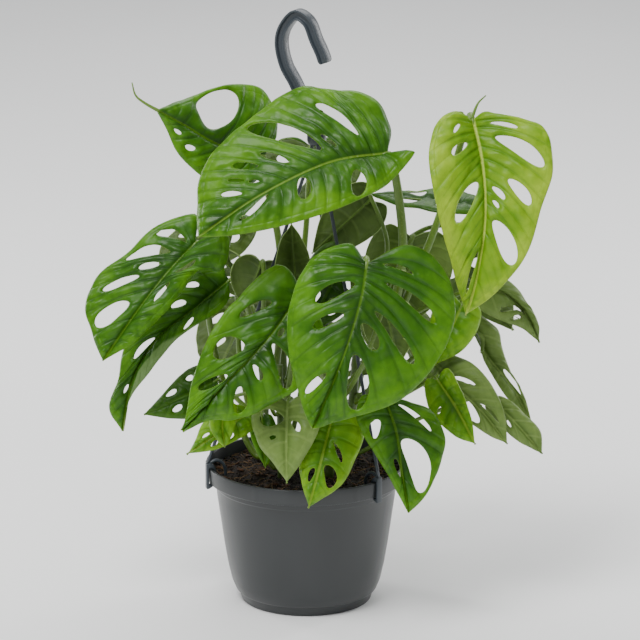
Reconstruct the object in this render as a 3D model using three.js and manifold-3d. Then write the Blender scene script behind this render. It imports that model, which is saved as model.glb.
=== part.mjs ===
// Monstera adansonii (Swiss cheese vine) growing in a plastic hanging pot with a hook hanger.
// Millimetres, +Z up. The origin is the middle of the pot's flat base.
import * as THREE from 'three';
import Module from 'manifold-3d';
import { mergeVertices } from 'three/addons/utils/BufferGeometryUtils.js';

const wasm = await Module();
wasm.setup();

// ---------------------------------------------------------------- driving dimensions

const CLEARANCE = 0.3;          // gap between pieces that touch
const SLIVER = 0.02;            // detail smaller than this is dropped where pieces are joined

const POT_HEIGHT = 120;
const RIM_RADIUS = 85;
const RIM_BAND_HEIGHT = 13.5;   // the turned-down band below the rim
const RIM_WALL = 2.5;
const WALL = 1.5;
const BASE_RADIUS = 55.5;
const COLLAR_RADIUS = 77.3;     // the wall just under the band
const WALL_LINE = [             // radius and height of the wall's outer face, from the foot up
  [60.6, 10], [63.6, 17.5], [66.9, 32], [69.9, 50], [75.7, 91],
];
const POT_FLOOR = 3;
const POT_SEGMENTS = 36;

const SOIL_RADIUS = 74.2;
const SOIL_EDGE = 110;          // height of the soil at the wall
const SOIL_CROWN = 6;           // how much higher it is heaped in the middle
const SOIL_LUMP = 1.2;
const STEM_DEPTH = 22;          // how deep the stems stand in the soil

const HUB_HEIGHT = 401;         // where the three strands of the hanger meet
const HUB_X = 9;
const HUB_DROP = 5;             // the underside of the hub is this far below
const HOOK_WIDTH = 10;          // of the hook's bar, across the plane of the hook
const HOOK_DEPTH = 8.5;         // of the hook's bar, in that plane
const HOOK_TURN = -28;          // how far that plane is turned from X, in degrees
const STRAND_RADIUS = 1.5;
const STRAP_WIDTH = 5.6;
const STRAND_ANGLES = { left: -165, right: -45, back: 75 };

const BLADE = 0.8;              // thickness of a leaf between its veins
const MIDRIB = 1.6;             // how far the midrib stands out below the blade at its base
const VEIN = 0.5;               // how far a side vein stands out at the midrib
const DROOP = 4;                // how far each half of a blade bulges between midrib and margin
const VEIN_SWEEP = 0.16;        // how much the side veins bend towards the tip
const LOBE = 0.15;              // the share of the blade, from its base, that rounds into the lobes
const STALK_SIDES = 6;

// ---------------------------------------------------------------- materials

const plastic = (color) => new THREE.MeshStandardMaterial({ color, roughness: 0.45, metalness: 0 });
const living = (color, roughness = 0.38) => (
  new THREE.MeshStandardMaterial({ color, roughness, metalness: 0 })
);
const potPlastic = plastic(0x45484a);
const hangerPlastic = plastic(0x4b535a);
const soilMaterial = living(0x2b1d14, 0.95);
const stemGreen = living(0x6f8a3a, 0.55);
const leafGreen = living(0x3f7a1c);
const paleLeafGreen = living(0x8fae4a);
const darkLeafGreen = living(0x33521f);

// ---------------------------------------------------------------- tools

const vec = (p) => new THREE.Vector3(...p);
const radians = THREE.MathUtils.degToRad;

function toSolid(geometry) {
  const bare = geometry.clone();
  for (const name of Object.keys(bare.attributes)) {
    if (name !== 'position') bare.deleteAttribute(name);
  }
  const merged = mergeVertices(bare, 1e-3);
  return new wasm.Manifold(new wasm.Mesh({
    numProp: 3,
    vertProperties: new Float32Array(merged.attributes.position.array),
    triVerts: new Uint32Array(merged.index.array),
  }));
}

function toGeometry(solid) {
  const { vertProperties, triVerts } = solid.getMesh();
  const geometry = new THREE.BufferGeometry();
  geometry.setAttribute('position', new THREE.BufferAttribute(vertProperties, 3));
  geometry.setIndex(new THREE.BufferAttribute(triVerts, 1));
  geometry.computeVertexNormals();
  return geometry;
}

/** Joins closed geometries into one body, without the slivers that a join leaves. */
function joined(...geometries) {
  const solid = geometries.map(toSolid).reduce((all, next) => all.add(next)).simplify(SLIVER);
  return toGeometry(solid);
}

/** A round rod along a curve; taper gives its radius at 0 (start) to 1 (end). */
function rod(curve, taper, steps, sides = STALK_SIDES) {
  const section = new THREE.Shape();
  section.absarc(0, 0, 1, 0, 2 * Math.PI, false);
  const geometry = new THREE.ExtrudeGeometry(section, {
    steps, extrudePath: curve, curveSegments: sides / 2, bevelEnabled: false,
  });
  const centres = curve.getSpacedPoints(steps);
  const positions = geometry.attributes.position;
  const point = new THREE.Vector3();
  for (let i = 0; i < positions.count; i += 1) {
    point.fromBufferAttribute(positions, i);
    let nearest = 0;
    centres.forEach((c, k) => {
      if (c.distanceToSquared(point) < centres[nearest].distanceToSquared(point)) nearest = k;
    });
    const centre = centres[nearest];
    point.sub(centre).multiplyScalar(taper(nearest / steps)).add(centre);
    positions.setXYZ(i, point.x, point.y, point.z);
  }
  return geometry;
}

/** Gives an open sheet of triangles a thickness; over and under give it at each vertex. */
function thicken(points, faces, over, under) {
  const normals = points.map(() => new THREE.Vector3());
  const triangle = new THREE.Triangle();
  const normal = new THREE.Vector3();
  for (const [a, b, c] of faces) {
    triangle.set(points[a], points[b], points[c]);
    triangle.getNormal(normal).multiplyScalar(triangle.getArea());
    for (const k of [a, b, c]) normals[k].add(normal);
  }
  const position = [];
  points.forEach((p, k) => position.push(...p.clone().addScaledVector(normals[k].normalize(), over[k])));
  points.forEach((p, k) => position.push(...p.clone().addScaledVector(normals[k], -under[k])));
  const low = points.length;
  const index = [];
  const edges = new Set(faces.flatMap(([a, b, c]) => [`${a},${b}`, `${b},${c}`, `${c},${a}`]));
  for (const [a, b, c] of faces) {
    index.push(a, b, c, low + c, low + b, low + a);
    for (const [p, q] of [[a, b], [b, c], [c, a]]) {
      if (!edges.has(`${q},${p}`)) index.push(q, p, low + p, q, low + p, low + q);
    }
  }
  const geometry = new THREE.BufferGeometry();
  geometry.setAttribute('position', new THREE.Float32BufferAttribute(position, 3));
  geometry.setIndex(index);
  return geometry;
}

// ---------------------------------------------------------------- leaves

/** How far down the blade a row is, from 0 at the base to 1 at the tip; stops are where the veins are. */
function partAt(stops, row) {
  const cell = Math.min(stops.length - 2, Math.floor(row));
  return THREE.MathUtils.lerp(stops[cell], stops[cell + 1], row - cell);
}

/** The row that lies at a part of the blade. */
function rowAt(stops, part) {
  const cell = Math.min(stops.length - 2, stops.findLastIndex((stop) => stop <= part));
  return cell + (part - stops[cell]) / (stops[cell + 1] - stops[cell]);
}

/** The surface of a blade: u runs from the midrib to the margin, row counts the side veins from the base. */
function bladeSurface({ base, tip, midrib, left, right, veins, slant, reach, lag }) {
  const line = (points) => new THREE.CatmullRomCurve3(points.map(vec), false, 'catmullrom', 0.5);
  const rib = line([base, ...midrib, tip]);
  const margins = [line([base, ...left, tip]), line([base, ...right, tip])];
  const along = vec(tip).sub(vec(base)).normalize();
  const across = vec(right[Math.floor(right.length / 2)]).sub(vec(left[Math.floor(left.length / 2)]));
  const facing = new THREE.Vector3().crossVectors(along, across).normalize();
  const at = (side, u, row) => {
    const part = partAt(veins[side], row);
    const lobeEnd = reach[side];
    const inner = rib.getPoint(Math.min(1, part ** slant));
    const outer = margins[side].getPoint(Math.min(1, lobeEnd + (1 - lobeEnd) * part ** lag[side]));
    const width = inner.distanceTo(outer);
    const middle = inner.clone().lerp(outer, 0.5).addScaledVector(along, -VEIN_SWEEP * width);
    const point = new THREE.QuadraticBezierCurve3(inner, middle, outer).getPoint(u);
    point.addScaledVector(facing, DROOP * 4 * u * (1 - u) * Math.min(1, width / 30));
    if (part < LOBE) {
      const lobe = margins[side].getPoint(lobeEnd * u).addScaledVector(inner.sub(vec(base)), 1 - u);
      point.lerp(lobe, (1 - part / LOBE) ** 2);
    }
    return point;
  };
  return { at, rib, facing, along };
}

/** Swaps the diagonals of triangles in a plane until none of them is needlessly thin. */
function wellShaped(flat, triangles) {
  const turn = (a, b, c) => flat[b].clone().sub(flat[a]).cross(flat[c].clone().sub(flat[a]));
  const cotangent = (a, c, b) => {
    const [p, q] = [flat[a].clone().sub(flat[c]), flat[b].clone().sub(flat[c])];
    return p.dot(q) / Math.abs(p.cross(q));
  };
  const result = triangles.map(([a, b, c]) => (turn(a, b, c) > 0 ? [a, b, c] : [a, c, b]));
  const swapOne = () => {
    const opposite = new Map();
    result.forEach(([a, b, c], i) => {
      for (const [p, q, r] of [[a, b, c], [b, c, a], [c, a, b]]) opposite.set(`${p},${q}`, [i, p, q, r]);
    });
    for (const [i, a, b, c] of opposite.values()) {
      if (!opposite.has(`${b},${a}`)) continue;
      const [j, , , d] = opposite.get(`${b},${a}`);
      const thin = cotangent(a, c, b) + cotangent(a, d, b) < -1e-6;
      if (thin && turn(c, a, d) > 0 && turn(d, b, c) > 0) {
        result[i] = [c, a, d];
        result[j] = [d, b, c];
        return true;
      }
    }
    return false;
  };
  for (let swaps = 0; swaps < 400 && swapOne();) swaps += 1;
  return result;
}

/** Fills a loop of points round its rings with triangles, seen square on to the loop. */
function fill(points, loop, rings) {
  const normal = new THREE.Vector3();
  loop.forEach((k, i) => {
    normal.add(new THREE.Vector3().crossVectors(points[k], points[loop[(i + 1) % loop.length]]));
  });
  normal.normalize();
  const first = points[loop[1]].clone().sub(points[loop[0]]).projectOnPlane(normal).normalize();
  const second = new THREE.Vector3().crossVectors(normal, first);
  const flat = (k) => new THREE.Vector2(points[k].dot(first), points[k].dot(second));
  const order = [...loop, ...rings.flat()];
  const triangles = THREE.ShapeUtils.triangulateShape(loop.map(flat), rings.map((ring) => ring.map(flat)));
  return wellShaped(order.map(flat), triangles).map((corners) => corners.map((i) => order[i]));
}

/** One blade with its slots, split into triangles alike on both faces. */
function blade(leaf) {
  const surface = bladeSurface(leaf);
  const points = [];
  const over = [];
  const under = [];
  const known = new Map();
  const add = (side, u, row, point = surface.at(side, u, row)) => {
    const key = point.toArray().map((x) => x.toFixed(2)).join();
    if (!known.has(key)) {
      const isVein = Number.isInteger(row) && u < 1;
      const fade = 1 - partAt(leaf.veins[side], row);
      known.set(key, points.length);
      points.push(point);
      over.push(BLADE / 2);
      under.push(BLADE / 2 + (u === 0 ? MIDRIB * (0.15 + 0.85 * fade ** 1.5) : isVein ? VEIN * (1 - u) : 0));
    }
    return known.get(key);
  };
  const stations = leaf.fine ? [0, 0.25, 0.5, 0.75, 1] : [0, 0.5, 1];
  // A point of a slot's edge lies on the flat strips between two side veins, never past a vein.
  const within = (side, u, cell, v) => {
    const spans = stations.length - 1;
    const from = Math.min(spans - 1, Math.floor(u * spans));
    const onVein = (row) => (
      surface.at(side, stations[from], row).lerp(surface.at(side, stations[from + 1], row), u * spans - from)
    );
    return add(side, u, cell + v, onVein(cell).lerp(onVein(cell + 1), v));
  };
  const faces = [];
  for (const side of [0, 1]) {
    const own = leaf.veins[side];
    const acrossRib = leaf.veins[1 - side].map((part) => rowAt(own, part));
    for (let row = 0; row < own.length - 1; row += 1) {
      const loop = [];
      const put = (u, v) => {
        const k = add(side, u, row + v);
        if (!loop.includes(k)) loop.push(k);
      };
      for (const u of stations) put(u, 0);
      if (leaf.fine) put(1, 0.5);
      for (const u of [...stations].reverse()) put(u, 1);
      for (const v of acrossRib.map((r) => r - row).reverse()) {
        if (v > 0.001 && v < 0.999) put(0, v);
      }
      const slots = leaf.slots[side].filter(([cell]) => cell === row);
      const rings = slots.map(([, from, to, gape, lean = 0]) => {
        const sides = leaf.fine ? 8 : 6;
        return Array.from({ length: sides }, (_, i) => {
          const turn = (2 * Math.PI * i) / sides;
          const u = (from + to) / 2 + ((to - from) / 2) * Math.cos(turn);
          const outward = Math.cos(turn);
          const wide = gape * (1 + 0.2 * outward) * Math.sin(turn);
          return within(side, u, row, 0.5 + (lean * outward + wide) / 2);
        });
      });
      const triangles = fill(points, loop, rings);
      faces.push(...(side === 1 ? triangles.map((corners) => corners.reverse()) : triangles));
    }
  }
  return { geometry: thicken(points, faces, over, under), surface };
}

/** Margin points of an ordinary heart-shaped blade, for leaves that need no outline of their own. */
function heartMargins({ base, tip, facing, width }) {
  const start = vec(base);
  const length = vec(tip).sub(start);
  const across = new THREE.Vector3().crossVectors(vec(facing), length).normalize();
  const outline = [[-0.09, 0.26], [0.06, 0.45], [0.34, 0.5], [0.63, 0.37], [0.86, 0.16]];
  const side = (sign) => outline.map(([down, wide]) => start.clone()
    .addScaledVector(length, down)
    .addScaledVector(across, sign * wide * width)
    .toArray());
  return { left: side(-1), right: side(1) };
}

const ORDINARY_SLOTS = [[1, 0.22, 0.72, 0.45], [2, 0.2, 0.78, 0.55]];

/** The places of a side's veins, with the base and the tip, from a list of them or from their number. */
const veinStops = (veins) => (
  Array.isArray(veins) ? [0, ...veins, 1] : Array.from({ length: veins + 1 }, (_, k) => k / veins)
);

/** A leaf: its blade, its stalk from the stem to the blade, and any drawn-out tail. */
function leafGeometry(leaf, stems) {
  const ordinary = leaf.width ? { veins: [4, 4], ...heartMargins(leaf) } : { veins: [5, 5] };
  const full = {
    slant: 1.5, reach: [0.16, 0.16], lag: [1, 1], midrib: [], slots: [ORDINARY_SLOTS, ORDINARY_SLOTS],
    ...ordinary, ...leaf,
  };
  full.veins = full.veins.map(veinStops);
  const { geometry, surface } = blade(full);
  const stem = stems[leaf.stem];
  const root = stem.axis(leaf.height);
  const reach = stem.radiusAt(leaf.height) + CLEARANCE + 0.15;
  const foot = vec(leaf.base);
  const thick = leaf.stalk ?? 1.8;
  const aim = (leaf.via ? vec(leaf.via[0]) : foot).clone().sub(root).setZ(0).normalize();
  const along = surface.rib.getPoint(0.08).sub(foot).normalize();
  const route = [
    root.clone().addScaledVector(aim, reach),
    root.clone().addScaledVector(aim, reach + 2.4 * thick),
    ...(leaf.via ?? []).map(vec),
    foot.clone().addScaledVector(surface.facing, -13).addScaledVector(along, -3),
    foot.clone().addScaledVector(surface.facing, -0.6),
    foot.clone().addScaledVector(surface.facing, -0.9).addScaledVector(along, 6),
  ];
  const curve = new THREE.CatmullRomCurve3(route, false, 'centripetal');
  const steps = Math.max(7, Math.min(13, Math.round(curve.getLength() / 16)));
  const pieces = [geometry, rod(curve, (t) => thick * (1.25 - 0.55 * t ** 2), steps)];
  if (leaf.tail) {
    const tail = new THREE.CatmullRomCurve3(leaf.tail.map(vec), false, 'centripetal');
    pieces.push(rod(tail, (t) => 1.6 - 1.1 * t, 5, 5));
  }
  return joined(...pieces);
}

// Every place is where the stalk joins the blade, the tip, or a point of the margin.
// left and right are as seen from above the blade with its tip pointing down the page.
// veins: for each half, how many cells its side veins part it into, or where the veins leave the midrib.
// slant, reach and lag say how the side veins run: down the midrib, round the base lobe and down the margin.
// slots: [cell between two side veins, where it starts and ends from midrib to margin, how wide it gapes,
// how far it leans to the tip]
const LEAVES = {
  crown: {
    stem: 'right', height: 175, via: [[80, -24, 300], [78, -30, 350]], stalk: 3.4, fine: true,
    base: [68, -45, 399], midrib: [[20, -65, 396], [-35, -84, 374]], tip: [-88, -95, 340],
    left: [
      [70, -27, 419], [55, -16, 440], [22, -15, 447], [-8, -17, 448], [-52, -38, 422], [-83, -56, 390],
      [-90, -74, 362],
    ],
    right: [
      [89, -61, 404], [70, -65, 380], [49, -82, 371], [20, -96, 362], [-17, -102, 352], [-55, -102, 344],
    ],
    veins: [
      [0.12, 0.24, 0.37, 0.413, 0.454, 0.548, 0.59, 0.645, 0.7, 0.785, 0.83, 0.91],
      [0.17, 0.34, 0.52, 0.58, 0.73, 0.9],
    ],
    slant: 1.7, reach: [0.34, 0.14], lag: [1.2, 1.2],
    slots: [
      [
        [2, 0.23, 0.72, 0.44, 0.35], [4, 0.17, 0.38, 0.5], [5, 0.2, 0.94, 0.8], [7, 0.24, 0.6, 0.5, -0.3],
        [8, 0.48, 0.74, 0.6], [9, 0.27, 0.42, 0.18], [9, 0.48, 0.68, 0.23], [10, 0.31, 0.66, 0.54],
      ],
      [[2, 0.37, 0.93, 0.41], [4, 0.08, 0.61, 0.3], [5, 0.09, 0.56, 0.25, 0.45]],
    ],
  },
  upper_left: {
    stem: 'left', height: 190, via: [[-22, 18, 300]], stalk: 2.6, fine: true,
    base: [-34, 24, 380], midrib: [[-72, 1, 395], [-101, -12, 415]], tip: [-124, -20, 430],
    left: [[-28, 38, 392], [-27, 43, 414], [-36, 44, 434], [-60, 32, 440], [-94, 4, 438]],
    right: [[-43, 12, 360], [-76, -11, 365], [-103, -20, 389], [-115, -20, 413]],
    tail: [[-121, -18, 428], [-132, -21, 435], [-140, -22, 442], [-143, -22, 453]],
    veins: [[0.3, 0.53, 0.79], [0.25, 0.5, 0.66, 0.8]], slant: 1.7, reach: [0.18, 0.18],
    slots: [[[2, 0.17, 0.93, 0.84, 0.1]], [[2, 0.6, 0.8, 0.35], [3, 0.6, 0.78, 0.4]]],
  },
  right_pale: {
    stem: 'right', height: 200, via: [[100, -8, 305], [116, -4, 350]], stalk: 2.8, fine: true, pale: true,
    base: [138, -15, 421], midrib: [[145, -31, 392], [148, -45, 359], [146, -54, 325], [139, -59, 288]],
    tip: [132, -60, 264],
    left: [
      [123, -22, 429], [109, -27, 425], [101, -46, 397], [108, -60, 354], [119, -63, 314], [126, -62, 285],
    ],
    right: [
      [151, -18, 428], [179, -22, 421], [198, -28, 416], [204, -41, 385], [195, -50, 356], [181, -59, 315],
      [155, -61, 282],
    ],
    tail: [[137, -14, 419], [140, -13, 428], [143, -12, 434], [149, -12, 440]],
    veins: [
      [0.12, 0.22, 0.33, 0.41, 0.57, 0.7, 0.9],
      [0.1, 0.166, 0.318, 0.39, 0.485, 0.54, 0.59, 0.7, 0.85],
    ],
    slant: 1.7, reach: [0.08, 0.27], lag: [0.65, 0.8],
    slots: [
      [[1, 0.35, 0.5, 0.35, 0.3], [2, 0.23, 0.56, 0.35], [4, 0.15, 0.74, 0.53], [6, 0.17, 0.68, 0.4, 0.4]],
      [
        [1, 0.2, 0.56, 0.4, 0.15], [2, 0.23, 0.88, 0.6, 0.1], [4, 0.42, 0.84, 0.6], [5, 0.14, 0.4, 0.54],
        [6, 0.15, 0.3, 0.4], [7, 0.2, 0.92, 0.8],
      ],
    ],
  },
  front_centre: {
    stem: 'front_right', height: 176, via: [[30, -62, 215]], stalk: 2.8, fine: true,
    base: [50, -100, 320], midrib: [[45, -114, 292], [30, -131, 247]], tip: [6, -140, 192],
    left: [[35, -97, 336], [5, -99, 324], [-14, -113, 286], [-13, -125, 249], [-4, -135, 212]],
    right: [
      [83, -96, 334], [111, -92, 316], [123, -96, 281], [110, -111, 243], [79, -125, 212], [38, -134, 198],
    ],
    veins: [
      [0.1, 0.2, 0.31, 0.49, 0.64, 0.74, 0.845, 0.93],
      [0.06, 0.134, 0.2, 0.34, 0.425, 0.55, 0.67, 0.82, 0.91],
    ],
    slant: 1.7, reach: [0.27, 0.34], lag: [1.2, 1],
    slots: [
      [[3, 0.14, 0.66, 0.6, 0.15], [4, 0.23, 0.68, 0.35, -0.15], [6, 0.4, 0.9, 0.4, -0.15]],
      [
        [1, 0.16, 0.49, 0.31, 0.3], [3, 0.22, 0.81, 0.47], [5, 0.21, 0.84, 0.43, -0.27],
        [6, 0.11, 0.47, 0.58, -0.15], [7, 0.21, 0.92, 0.75, 0.1],
      ],
    ],
  },
  front_left: {
    stem: 'front_left', height: 185, stalk: 2.4, fine: true,
    base: [-2, -70, 289], midrib: [[-32, -90, 252], [-64, -104, 221]], tip: [-101, -115, 182],
    left: [[-19, -67, 310], [-46, -73, 300], [-75, -90, 263], [-93, -104, 223], [-98, -111, 197]],
    right: [[13, -75, 265], [7, -87, 230], [-10, -97, 209], [-50, -107, 191], [-81, -112, 187]],
    veins: [[0.06, 0.18, 0.4, 0.66, 0.85], [0.12, 0.24, 0.33, 0.47, 0.575, 0.7, 0.84]],
    slant: 1.1, reach: [0.2, 0.14], lag: [0.5, 1],
    slots: [
      [[1, 0.37, 0.75, 0.34, 0.1], [2, 0.39, 0.86, 0.5, -0.5], [3, 0.29, 0.89, 0.4, -0.6]],
      [[2, 0.06, 0.16, 0.6], [3, 0.12, 0.9, 0.55, 0.45], [4, 0.14, 0.5, 0.3], [5, 0.35, 0.9, 0.55]],
    ],
  },
  left: {
    stem: 'left', height: 122, via: [[-72, 18, 190], [-86, 16, 268], [-89, 6, 300]], stalk: 2.3, fine: true,
    base: [-91, -25, 318], midrib: [[-115, -41, 296], [-141, -56, 265]], tip: [-168, -65, 227],
    left: [
      [-93, -13, 340], [-131, -10, 332], [-153, -23, 309], [-175, -31, 289], [-183, -41, 267],
      [-176, -53, 247],
    ],
    right: [[-64, -35, 326], [-69, -39, 298], [-90, -40, 295], [-109, -52, 274], [-137, -62, 247]],
    veins: [[0.035, 0.1, 0.205, 0.245, 0.325, 0.42, 0.51, 0.73, 0.86], [0.13, 0.26, 0.45, 0.75, 0.88]],
    slant: 1.1, reach: [0.14, 0.08], lag: [0.5, 1.2],
    slots: [
      [
        [1, 0.14, 0.84, 0.35, 0.12], [2, 0.23, 0.85, 0.74, -0.15], [4, 0.2, 0.47, 0.75], [5, 0.39, 0.83, 0.8],
        [7, 0.32, 0.92, 0.76, 0.1],
      ],
      [[2, 0.2, 0.4, 0.44, -0.4], [3, 0.27, 0.45, 0.4]],
    ],
  },
  left_low: {
    stem: 'left', height: 142, via: [[-56, 17, 205]], stalk: 2,
    base: [-64, 5, 278], midrib: [[-91, -8, 258], [-124, -20, 234], [-145, -29, 200]], tip: [-154, -35, 157],
    left: [[-77, 9, 289], [-123, -3, 267], [-151, -17, 231], [-158, -27, 197], [-165, -30, 176]],
    right: [[-67, -12, 260], [-105, -23, 236], [-129, -32, 209], [-147, -32, 185]],
    veins: [8, 5], slant: 1.2, reach: [0.12, 0.12],
    slots: [
      [[1, 0.4, 0.7, 0.3], [2, 0.25, 0.5, 0.4], [4, 0.1, 0.65, 0.6], [6, 0.1, 0.35, 0.3]],
      [[1, 0.55, 0.85, 0.25]],
    ],
  },
  left_dark: {
    stem: 'left', height: 160, stalk: 1.8, dark: true,
    base: [-74, -6, 194], midrib: [[-90, -16, 188], [-112, -25, 180]], tip: [-136, -30, 170],
    left: [[-78, 2, 207], [-97, -5, 204], [-119, -19, 187]],
    right: [[-75, -14, 180], [-90, -25, 167], [-112, -30, 166]],
    slots: [[[3, 0.45, 0.8, 0.5], [2, 0.5, 0.75, 0.35]], [[3, 0.35, 0.72, 0.45]]],
  },
  low_left: {
    stem: 'front_left', height: 124, stalk: 1.7, pale: true,
    base: [-47, -45, 177], midrib: [[-71, -62, 165]], tip: [-99, -75, 149],
    left: [[-58, -44, 183], [-83, -58, 174], [-92, -67, 161]],
    right: [[-42, -49, 166], [-57, -60, 158], [-78, -70, 150]],
    slots: [[[3, 0.4, 0.68, 0.4]], [[3, 0.35, 0.75, 0.4], [2, 0.5, 0.78, 0.35]]],
  },
  low_left_small: {
    stem: 'front_left', height: 172, via: [[-38, -52, 196]], stalk: 1.4, pale: true,
    base: [-66, -70, 193], midrib: [[-69, -78, 176]], tip: [-67, -82, 157], veins: [3, 3],
    left: [[-76, -71, 191], [-80, -77, 176], [-74, -81, 163]],
    right: [[-56, -71, 190], [-59, -78, 174], [-63, -81, 163]],
    slots: [[], []],
  },
  bottom_fold: {
    stem: 'front_left', height: 158, stalk: 1.8,
    base: [-15, -70, 194], midrib: [[-16, -89, 163]], tip: [-16, -98, 131],
    left: [[-31, -66, 199], [-46, -70, 184], [-40, -83, 162], [-26, -92, 144]],
    right: [[2, -74, 200], [12, -86, 183], [7, -93, 166], [-6, -97, 144]],
    veins: [[0.25, 0.48, 0.62, 0.8], [0.2, 0.34, 0.54, 0.8]],
    slots: [[[1, 0.07, 0.73, 0.72], [2, 0.34, 0.58, 0.3]], [[2, 0.13, 0.5, 0.45, 0.35]]],
  },
  bottom_small: {
    stem: 'front_left', height: 141, stalk: 1.6,
    base: [-37, -42, 172], midrib: [[-36, -50, 154]], tip: [-34, -59, 132], veins: [4, 4],
    left: [[-44, -40, 176], [-48, -46, 164], [-42, -54, 146]],
    right: [[-29, -43, 175], [-23, -50, 160], [-26, -56, 144]],
    slots: [[[2, 0.3, 0.6, 0.3]], []],
  },
  bottom_centre: {
    stem: 'front_right', height: 130, stalk: 1.9,
    base: [22, -65, 178], midrib: [[15, -82, 155], [8, -94, 130]], tip: [2, -100, 110],
    left: [[10, -64, 186], [-5, -72, 170], [-6, -83, 145], [-3, -94, 125]],
    right: [[37, -66, 185], [48, -68, 168], [43, -81, 148], [32, -92, 129], [13, -98, 116]],
    veins: [[0.2, 0.4, 0.6, 0.76], [0.2, 0.35, 0.55, 0.74]],
    slots: [[[3, 0.2, 0.62, 0.6, 0.25]], [[3, 0.16, 0.84, 0.6, 0.3], [2, 0.17, 0.66, 0.24, 0.6]]],
  },
  bottom_right: {
    stem: 'front_right', height: 145, via: [[46, -66, 168]], stalk: 2,
    base: [66, -75, 196], midrib: [[75, -88, 172], [79, -98, 143]], tip: [85, -105, 108],
    left: [[47, -76, 200], [42, -82, 181], [57, -93, 154], [75, -101, 126]],
    right: [[99, -74, 191], [115, -82, 170], [113, -90, 148], [99, -100, 121]],
    veins: [[0.16, 0.3, 0.48, 0.62, 0.82], [0.12, 0.37, 0.48, 0.81]],
    slots: [
      [[2, 0.38, 0.81, 0.55, 0.35], [4, 0.08, 0.5, 0.6, -0.3]],
      [[1, 0.23, 0.73, 0.36, 0.8], [3, 0.06, 0.93, 0.78, 0.4]],
    ],
  },
  right_low_pale: {
    stem: 'front_right', height: 160, stalk: 1.6, pale: true,
    base: [109, -45, 206], midrib: [[125, -60, 185]], tip: [141, -70, 156],
    left: [[100, -45, 203], [103, -54, 181], [122, -65, 163]],
    right: [[118, -45, 215], [128, -52, 202], [137, -63, 179]],
    slots: [[[3, 0.46, 0.8, 0.3, 0.8], [2, 0.5, 0.8, 0.2]], []],
  },
  right_grey: {
    stem: 'right', height: 150, stalk: 1.9, dark: true,
    base: [108, -10, 210], midrib: [[128, -23, 191], [149, -33, 172]], tip: [169, -40, 147],
    left: [[99, -12, 197], [113, -22, 176], [138, -31, 162], [156, -37, 153]],
    right: [[118, -10, 219], [141, -20, 211], [159, -30, 190], [167, -36, 169]],
    veins: [[0.2, 0.45, 0.72, 0.86], [0.2, 0.33, 0.5, 0.62, 0.87]],
    slots: [[[2, 0.1, 0.86, 0.8, -0.2]], [[2, 0.12, 0.6, 0.36, 0.6], [4, 0.24, 0.66, 0.4, 0.5]]],
  },
  right_far: {
    stem: 'right', height: 125, via: [[90, 14, 150]], stalk: 1.6, dark: true,
    base: [154, -14, 181], midrib: [[176, -24, 161]], tip: [199, -29, 135],
    left: [[151, -16, 170], [168, -23, 153], [188, -26, 140]],
    right: [[166, -17, 182], [185, -19, 168], [198, -25, 154]],
    slots: [[[2, 0.3, 0.6, 0.3]], []],
  },
  right_edge: {
    stem: 'back_right', height: 160, via: [[90, 34, 200]], stalk: 1.8, dark: true,
    base: [137, 20, 242], midrib: [[152, 14, 211], [167, 8, 193], [181, 4, 173]], tip: [193, 0, 146],
    left: [[136, 15, 236], [149, 12, 225], [150, 7, 212], [155, 4, 200], [164, 1, 184], [176, -2, 168]],
    right: [[150, 23, 242], [163, 21, 228], [168, 17, 211], [175, 13, 195], [183, 9, 181], [190, 3, 162]],
    veins: [5, [0.25, 0.5, 0.8]],
    slots: [[], [[2, 0.13, 0.68, 0.72]]],
  },
  right_under: {
    stem: 'back_right', height: 185, stalk: 1.8, dark: true, via: [[90, 30, 240]],
    base: [138, 10, 267], midrib: [[164, 17, 264], [184, 20, 246]], tip: [198, 15, 220],
    left: [[141, 5, 256], [158, 5, 245], [181, 11, 234], [190, 13, 227]],
    right: [[147, 20, 276], [170, 25, 273], [191, 24, 251], [197, 18, 236]],
    veins: [[0.34, 0.79], 4],
    slots: [[[1, 0.1, 0.74, 0.2, -0.85], [1, 0.5, 0.88, 0.15, -0.55]], []],
  },
  centre_young: {
    stem: 'front_left', height: 200, stalk: 1.6, dark: true,
    base: [-8, -22, 274], midrib: [[-10, -16, 302]], tip: [-12, -22, 334],
    left: [[-18, -32, 274], [-26, -36, 294], [-22, -34, 316]],
    right: [[2, -32, 274], [8, -36, 294], [0, -34, 316]],
    slots: [[], []],
  },
  inner_left: {
    stem: 'left', height: 205, dark: true,
    base: [-37, -2, 296], tip: [-52, 4, 253], facing: [0, 0.9, 0.3], width: 44, slots: [[], []],
  },
  inner_right: {
    stem: 'right', height: 215, dark: true, via: [[64, 2, 280], [68, 0, 312]],
    base: [55, 6, 347], tip: [5, 6, 300], facing: [0.2, 0.9, -0.35], width: 50, slots: [[], []],
  },
  inner_low: {
    stem: 'front_right', height: 208, dark: true, via: [[40, -24, 250]],
    base: [34, -12, 303], tip: [-2, -18, 234], facing: [0.1, -0.9, 0.3], width: 52,
  },
  inner_middle: {
    stem: 'front_right', height: 187, dark: true, via: [[48, -64, 225]],
    base: [66, -50, 270], tip: [77, -52, 218], facing: [0, 0.95, 0.2], width: 46, slots: [[], []],
  },
  right_middle: {
    stem: 'front_right', height: 197, pale: true, via: [[60, -26, 222], [96, -22, 238]],
    base: [131, -15, 262], tip: [108, -28, 212], facing: [0.1, -0.9, 0.3], width: 42, slots: [[], []],
  },
  inner_grey: {
    stem: 'back_left', height: 190, dark: true,
    base: [-48, 33, 262], tip: [-82, 17, 308], facing: [0.3, 0.8, 0.4], width: 44,
  },
  back_right_high: {
    stem: 'back_right', height: 203,
    base: [90, 42, 306], tip: [80, 46, 219], facing: [0.05, 0.95, 0.25], width: 76, slots: [[], []],
  },
  back_flat: {
    stem: 'back_right', height: 196, via: [[60, 64, 270], [100, 72, 304]], dark: true,
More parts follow.
